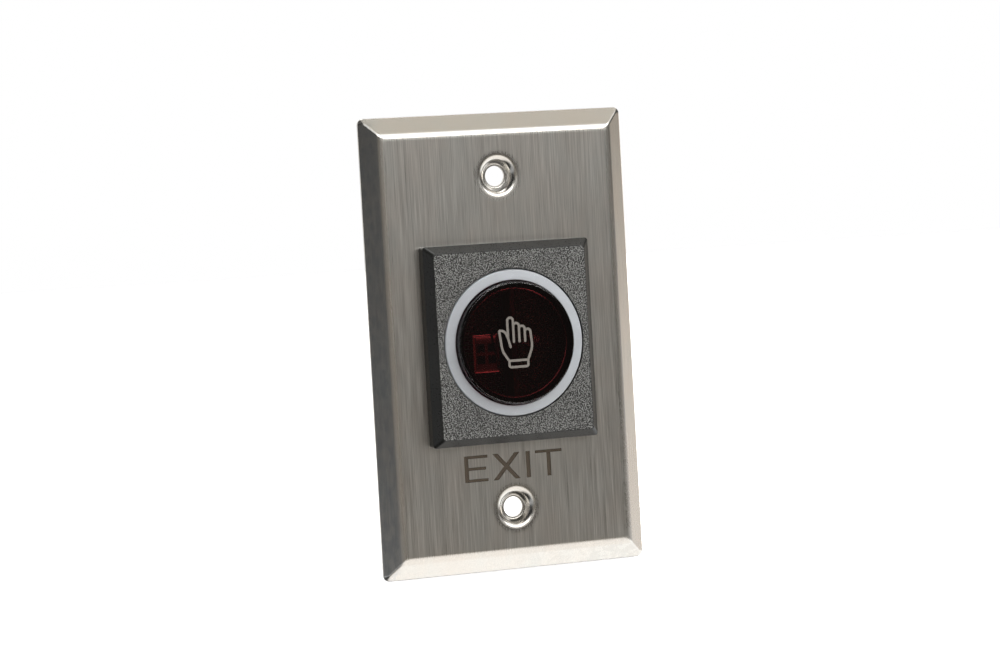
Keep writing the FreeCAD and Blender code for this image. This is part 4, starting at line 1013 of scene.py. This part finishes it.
class EXITBUTTON_OT_sensor_head(Operator):
    """Lamps, receiver and board behind the window"""

    bl_idname = "exit_button.sensor_head"
    bl_label = "Sensor Head"

    def execute(self, context):
        finishes = settings(context).finishes
        tin = bare_metal("tin_plate", TIN, 0.045, scratch=0.03)
        baffle = plain_plastic("baffle_plastic", BAFFLE_BLACK, rough=0.45)
        moulded_copy("light_baffle", "baffle_tube", baffle)
        self.screen(settings(context).module, tin)
        moulded_copy("ir_receiver", "receiver_block", clear_lens("dark_epoxy", DARK_EPOXY, 0.1))
        moulded_copy("ir_emitter", "emitter_lamp", clear_lens("clear_resin", CLEAR_RESIN, 0.05))
        lacquer = solder_mask("front_lacquer", shade(finishes.board, 0.4))
        moulded_copy("sensor_board", "front_board", lacquer)
        moulded_copy("ring_leds", "ring_lamps", plain_plastic("lamp_white", LAMP_WHITE, rough=0.4))
        chip = plain_plastic("chip_black", CHIP_BLACK, rough=0.5)
        moulded_copy("controller_chip", "control_chip", chip)
        ceramic = plain_plastic("part_ceramic", FRONT_CERAMIC, rough=0.4)
        moulded_copy("sensor_board_parts", "front_board_parts", ceramic)
        return {"FINISHED"}

    def screen(self, sizes, tin):
        """Tin box open at the rear, with sloping edges and a cross over its window."""
        low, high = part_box("receiver_shield")
        centre = np.array([(low.x + high.x) / 2, (low.z + high.z) / 2])
        width, height = high.x - low.x, high.z - low.z
        slope, wall, corner = sizes.screen_slope, sizes.screen_wall, sizes.screen_corner
        ceiling = low.y + wall
        shell = Shell()
        side = np.array([(slope, low.y), (0, low.y + sizes.screen_slope_depth), (0, high.y)])
        shell.framed(side, width, height, corner, centre=centre)
        near, far = sizes.screen_cross / 2, sizes.screen_window
        pane = np.array([(near, near), (far, near), (far, far), (near, far)])
        windows = [pane * sides + centre for sides in four_places(1, 1)]
        for window in windows:
            shell.upright(window, low.y, ceiling)
        face = frame_loops(width / 2 - slope, height / 2 - slope, corner)[0] + centre
        outer = frame_loops(width / 2, height / 2, corner)[0] + centre
        cavity = frame_loops(width / 2 - wall, height / 2 - wall, corner)[0] + centre
        shell.flat([face] + windows, low.y)
        shell.flat([cavity] + windows, ceiling)
        shell.upright(cavity, ceiling, high.y)
        shell.flat([outer, cavity], high.y)
        settle(shell.build("tin_screen", [tin]), "receiver_shield")


class EXITBUTTON_OT_rear_cover(Operator):
    """Black cover over the boards, and the screws that hold it"""

    bl_idname = "exit_button.rear_cover"
    bl_label = "Rear Cover"

    def execute(self, context):
        cover = plain_plastic("cover_plastic", settings(context).finishes.cover, rough=0.42,
                              grain_size=0.22, relief=0.05)
        moulded_copy("rear_cover", "cover_shell", cover, softness=0.1)
        steel = bare_metal("screw_steel", SCREW_STEEL, 0.24)
        moulded_copy("cover_screws", "cover_fixings", steel)
        moulded_copy("board_screws", "board_fixings", steel)
        moulded_copy("board_spacers", "spacer_tubes", plain_plastic("spacer_plastic", BLACK))
        return {"FINISHED"}


class EXITBUTTON_OT_terminal(Operator):
    """Green screw terminal with its cages and screws"""

    bl_idname = "exit_button.terminal"
    bl_label = "Terminal"

    def execute(self, context):
        finishes = settings(context).finishes
        green = plain_plastic("terminal_plastic", finishes.terminal, rough=0.38)
        moulded_copy("terminal_block", "terminal_body", green, softness=0.12)
        moulded_copy("wire_clamps", "clamp_cages", bare_metal("clamp_steel", CLAMP_STEEL, 0.3))
        screws = bare_metal("clamp_screw_steel", CLAMP_SCREW_STEEL, 0.2)
        moulded_copy("terminal_screws", "clamp_screws", screws)
        return {"FINISHED"}


class EXITBUTTON_OT_adjusters(Operator):
    """Two blue adjusters with white slotted rotors"""

    bl_idname = "exit_button.adjusters"
    bl_label = "Adjusters"

    def execute(self, context):
        finishes = settings(context).finishes
        blue = plain_plastic("adjuster_plastic", finishes.trimmer, rough=0.35)
        white = plain_plastic("rotor_plastic", ROTOR_WHITE, rough=0.4)
        for name in ("delay", "distance"):
            moulded_copy(name + "_trimmer", name + "_adjuster_body", blue, softness=0.1)
            moulded_copy(name + "_rotor", name + "_adjuster_rotor", white)
        return {"FINISHED"}


class EXITBUTTON_OT_relay_board(Operator):
    """Rear board with its relay, capacitor, diode and pin strip"""

    bl_idname = "exit_button.relay_board"
    bl_label = "Relay Board"

    def execute(self, context):
        finishes = settings(context).finishes
        moulded_copy("relay_board", "rear_board", solder_mask("rear_lacquer", finishes.board))
        moulded_copy("relay", "relay_case", plain_plastic("relay_plastic", finishes.relay, rough=0.3))
        sleeve = plain_plastic("capacitor_sleeve", SLEEVE_BLACK, rough=0.25)
        moulded_copy("filter_capacitor", "capacitor_can", sleeve)
        moulded_copy("protection_diode", "diode_body", plain_plastic("diode_black", BLACK))
        ceramic = plain_plastic("rear_part_ceramic", REAR_CERAMIC, rough=0.45)
        moulded_copy("relay_board_parts", "rear_board_parts", ceramic)
        moulded_copy("board_header", "header_strip", plain_plastic("header_black", BLACK))
        moulded_copy("header_pins", "brass_pins", bare_metal("pin_brass", BRASS, 0.2))
        return {"FINISHED"}


BACKDROP = (1.0, 1.0, 1.0)
ROOM_TONE = (0.024, 0.024, 0.024)
FLOOR_HALF = 3.0
FIBRE_SIZE = 20
SOFTBOX_WIDTH = 0.5
SOFTBOX_HEIGHT = 0.4
SOFTBOX_PLACE = Vector((0.75, -0.45, 0.85))
SOFTBOX_AIM = Vector((0, 0, -0.02))
CEILING_SPREAD = np.radians(50)

# Each panel has its azimuth and elevation in degrees, as a middle, a half width and a soft edge, and
# then its brightness and its tint. Level, before and aside are the turns and rises that several share.
LEVEL = (-3, 7, 3)
BEFORE = (20, 35, 12)
ASIDE = (90, 35, 12)
PANELS = {
    "window over the front": (BEFORE, (7, 4, 2), 0.85, (1.0, 1.0, 0.98)),
    "softbox over the front": (BEFORE, (29, 10, 4), 4.8, (1.0, 1.0, 0.99)),
    "softbox, upper part": ((16, 9, 5), (50, 11, 5), 1.8, (1.0, 1.0, 0.99)),
    "wall over the softbox": (BEFORE, (44, 7, 3), 1.0, (1.0, 1.0, 1.03)),
    "upper wall over the softbox": (BEFORE, (62, 11, 3), 0.50, (1.08, 1.0, 0.84)),
    "upper wall at the right": (ASIDE, (52, 17, 4), 1.0, (1.03, 1.0, 0.94)),
    "upper wall at the rear": ((190, 65, 12), (45, 20, 6), 0.6, (1.0, 1.0, 1.0)),
    "ceiling": ((0, 180, 1), (82, 9, 3), 5.0, (1.0, 1.0, 0.99)),
    "left wall, far": ((-104, 22, 8), (8, 22, 8), 0.9, (1.0, 1.0, 1.0)),
    "left wall": ((-48, 12, 5), LEVEL, 0.08, (0.97, 1.0, 1.03)),
    "left wall, near": ((-25, 11, 5), LEVEL, 0.22, (1.12, 1.0, 0.86)),
    "front wall, left": ((-4, 10, 5), LEVEL, 0.20, (1.12, 1.0, 0.84)),
    "front wall": ((20, 3, 2), LEVEL, 0.06, (1.3, 1.0, 0.9)),
    "right wall, near": ((43, 9, 4), LEVEL, 0.04, (1.08, 1.0, 0.85)),
    "right wall": ((62, 10, 4), LEVEL, 0.18, (1.10, 1.0, 0.88)),
    "right wall, low": ((84, 12, 4), (-7, 5, 2), 0.55, (1.04, 1.0, 1.0)),
    "right wall, far": ((114, 18, 6), LEVEL, 2.1, (1.10, 1.0, 0.88)),
    "left wall, low": ((-50, 35, 12), (-20, 10, 3), 0.5, (0.96, 1.0, 1.05)),
    "table's edge": (BEFORE, (-14, 4, 2), 0.2, (1.1, 1.0, 0.75)),
    "table": (BEFORE, (-51, 33, 2), 1.46, (1.03, 1.0, 0.97)),
    "table at the right": (ASIDE, (-48, 38, 3), 1.75, (0.98, 1.0, 1.01)),
    "rear wall": ((180, 55, 10), (5, 30, 8), 1.2, (1.0, 1.0, 1.0)),
}


class EXITBUTTON_OT_studio(Operator):
    """Pale floor, soft light all round, a softbox, light from above and the camera"""

    bl_idname = "exit_button.studio"
    bl_label = "Studio"

    def execute(self, context):
        studio = settings(context).studio
        self.floor(studio)
        self.room(context, studio)
        self.lamps(context, studio)
        self.camera(context, studio)
        context.scene.view_settings.view_transform = "Standard"
        return {"FINISHED"}

    def floor(self, studio):
        """Level sheet under the plate's lower edge, too wide for its ends to show.

        It only takes the shadow: the light that comes from below is the room's.
        """
        mesh = bpy.data.meshes.new("studio_floor")
        turns = ((-1, -1), (1, -1), (1, 1), (-1, 1))
        corners = [(x * FLOOR_HALF, y * FLOOR_HALF, cad_low.z) for x, y in turns]
        mesh.from_pydata(corners, [], [(0, 1, 2, 3)])
        material, graph, shader = new_material("floor_paper", {
            "Roughness": 0.9, "Specular IOR Level": 0.0, "Emission Color": (1.0, 1.0, 1.0, 1.0),
            "Emission Strength": studio.floor_glow})
        material.cycles.emission_sampling = "NONE"
        fibre = graph.grain(FIBRE_SIZE, detail=2.0)
        tone = studio.floor_tone
        paper = graph.mix(fibre, shade(tone, 0.995), shade(tone, 1.005))
        graph.feed(shader.inputs["Base Color"], paper)
        mesh.materials.append(material)
        floor = bpy.data.objects.new("studio_floor", mesh)
        bpy.context.scene.collection.objects.link(floor)
        for ray in ("diffuse", "glossy", "transmission", "shadow"):
            setattr(floor, "visible_" + ray, False)

    def room(self, context, studio):
        """Light from all round: soft panels, each a window of azimuth and elevation with smooth edges.

        Azimuth is counted from the front towards the right, elevation from the level.
        """
        world = bpy.data.worlds.new("studio_room")
        context.scene.world = world
        world.use_nodes = True
        graph = Graph(world.node_tree)
        direction = graph.add("TexCoord").outputs["Generated"]
        x, y, z = graph.add("SeparateXYZ", {"Vector": direction}).outputs
        azimuth = graph.math("ARCTAN2", x, graph.math("MULTIPLY", y, -1.0))
        elevation = graph.math("ARCSINE", z)
        light = ROOM_TONE
        for panel in PANELS.values():
            light = self.panel(graph, light, azimuth, elevation, studio.room_light, *panel)
        seen = graph.add("LightPath").outputs["Is Camera Ray"]
        shown = graph.mix(seen, light, BACKDROP)
        background = graph.add("Background", {"Color": shown, "Strength": 1.0})
        graph.add("OutputWorld", {"Surface": background.outputs[0]})

    def panel(self, graph, light, azimuth, elevation, strength, turn, rise, brightness, tint):
        """The light with one more panel; turn and rise hold a middle, a half width and a soft edge."""
        away = graph.math("PINGPONG", graph.math("SUBTRACT", azimuth, np.radians(turn[0])), np.pi)
        above = graph.math("ABSOLUTE", graph.math("SUBTRACT", elevation, np.radians(rise[0])))
        share = graph.math("MULTIPLY", self.window(graph, away, turn), self.window(graph, above, rise))
        glow = tuple(channel * brightness * strength for channel in tint)
        lit = graph.add("VectorMath", {0: glow, 3: share}, operation="SCALE")
        return graph.add("VectorMath", {0: light, 1: lit.outputs[0]}, operation="ADD").outputs[0]

    def window(self, graph, distance, span):
        """One inside the half width, nought outside, smooth over the soft edge."""
        half, soft = np.radians(span[1:])
        limits = {"Value": distance, "From Min": half + soft, "From Max": half - soft}
        node = graph.add("MapRange", limits, interpolation_type="SMOOTHSTEP")
        return node.outputs["Result"]

    def lamps(self, context, studio):
        """Area light at the right for the soft shadow on the left, and a wide light from above."""
        lamp = bpy.data.lights.new("softbox", "AREA")
        lamp.energy = studio.key_power
        lamp.shape = "RECTANGLE"
        lamp.size = SOFTBOX_WIDTH
        lamp.size_y = SOFTBOX_HEIGHT
        turn = (SOFTBOX_AIM - SOFTBOX_PLACE).to_track_quat("-Z", "Y")
        box = bpy.data.objects.new("softbox", lamp)
        box.matrix_world = Matrix.Translation(SOFTBOX_PLACE) @ turn.to_matrix().to_4x4()
        box.visible_camera = False
        box.visible_glossy = False
        context.scene.collection.objects.link(box)
        lamp = bpy.data.lights.new("ceiling", "SUN")
        lamp.energy = studio.top_light
        lamp.angle = CEILING_SPREAD
        ceiling = bpy.data.objects.new("ceiling", lamp)
        ceiling.visible_glossy = False
        context.scene.collection.objects.link(ceiling)

    def camera(self, context, studio):
        """Camera at the photograph's place, turned by its view and down directions."""
        lens = bpy.data.cameras.new("camera")
        lens.lens = studio.lens
        lens.sensor_width = 36.0
        view = Vector(studio.camera_view).normalized()
        down = Vector(studio.camera_down)
        down = (down - view * down.dot(view)).normalized()
        right = view.cross(-down)
        turn = Matrix((right, -down, -view)).transposed()
        camera = bpy.data.objects.new("camera", lens)
        camera.matrix_world = Matrix.Translation(studio.camera_place) @ turn.to_4x4()
        context.scene.collection.objects.link(camera)
        context.scene.camera = camera


class EXITBUTTON_PT_build(Panel):
    """Steps that build the exit button"""

    bl_idname = "EXITBUTTON_PT_build"
    bl_label = "Exit Button"
    bl_space_type = "VIEW_3D"
    bl_region_type = "UI"
    bl_category = "Exit Button"

    def draw(self, context):
        for step in STEPS:
            self.layout.operator(step.bl_idname)


STEPS = (EXITBUTTON_OT_wall_plate, EXITBUTTON_OT_bezel, EXITBUTTON_OT_light_ring,
         EXITBUTTON_OT_sensor_window, EXITBUTTON_OT_sensor_head, EXITBUTTON_OT_rear_cover,
         EXITBUTTON_OT_terminal, EXITBUTTON_OT_adjusters, EXITBUTTON_OT_relay_board,
         EXITBUTTON_OT_studio)
SETTINGS = (PlateSizes, WordSizes, ModuleSizes, Finishes, Studio, ExitButton)
CLASSES = SETTINGS + STEPS + (EXITBUTTON_PT_build,)


def register():
    """Makes the classes and the settings known to Blender."""
    for kind in CLASSES:
        bpy.utils.register_class(kind)
    bpy.types.Scene.exit_button = PointerProperty(type=ExitButton)


def unregister():
    """Takes the settings and the classes out again."""
    del bpy.types.Scene.exit_button
    for kind in reversed(CLASSES):
        bpy.utils.unregister_class(kind)


def main():
    """Builds every piece and the studio."""
    register()
    bpy.ops.exit_button.wall_plate()
    bpy.ops.exit_button.bezel()
    bpy.ops.exit_button.light_ring()
    bpy.ops.exit_button.sensor_window()
    bpy.ops.exit_button.sensor_head()
    bpy.ops.exit_button.rear_cover()
    bpy.ops.exit_button.terminal()
    bpy.ops.exit_button.adjusters()
    bpy.ops.exit_button.relay_board()
    bpy.ops.exit_button.studio()


if __name__ == "__main__":
    main()
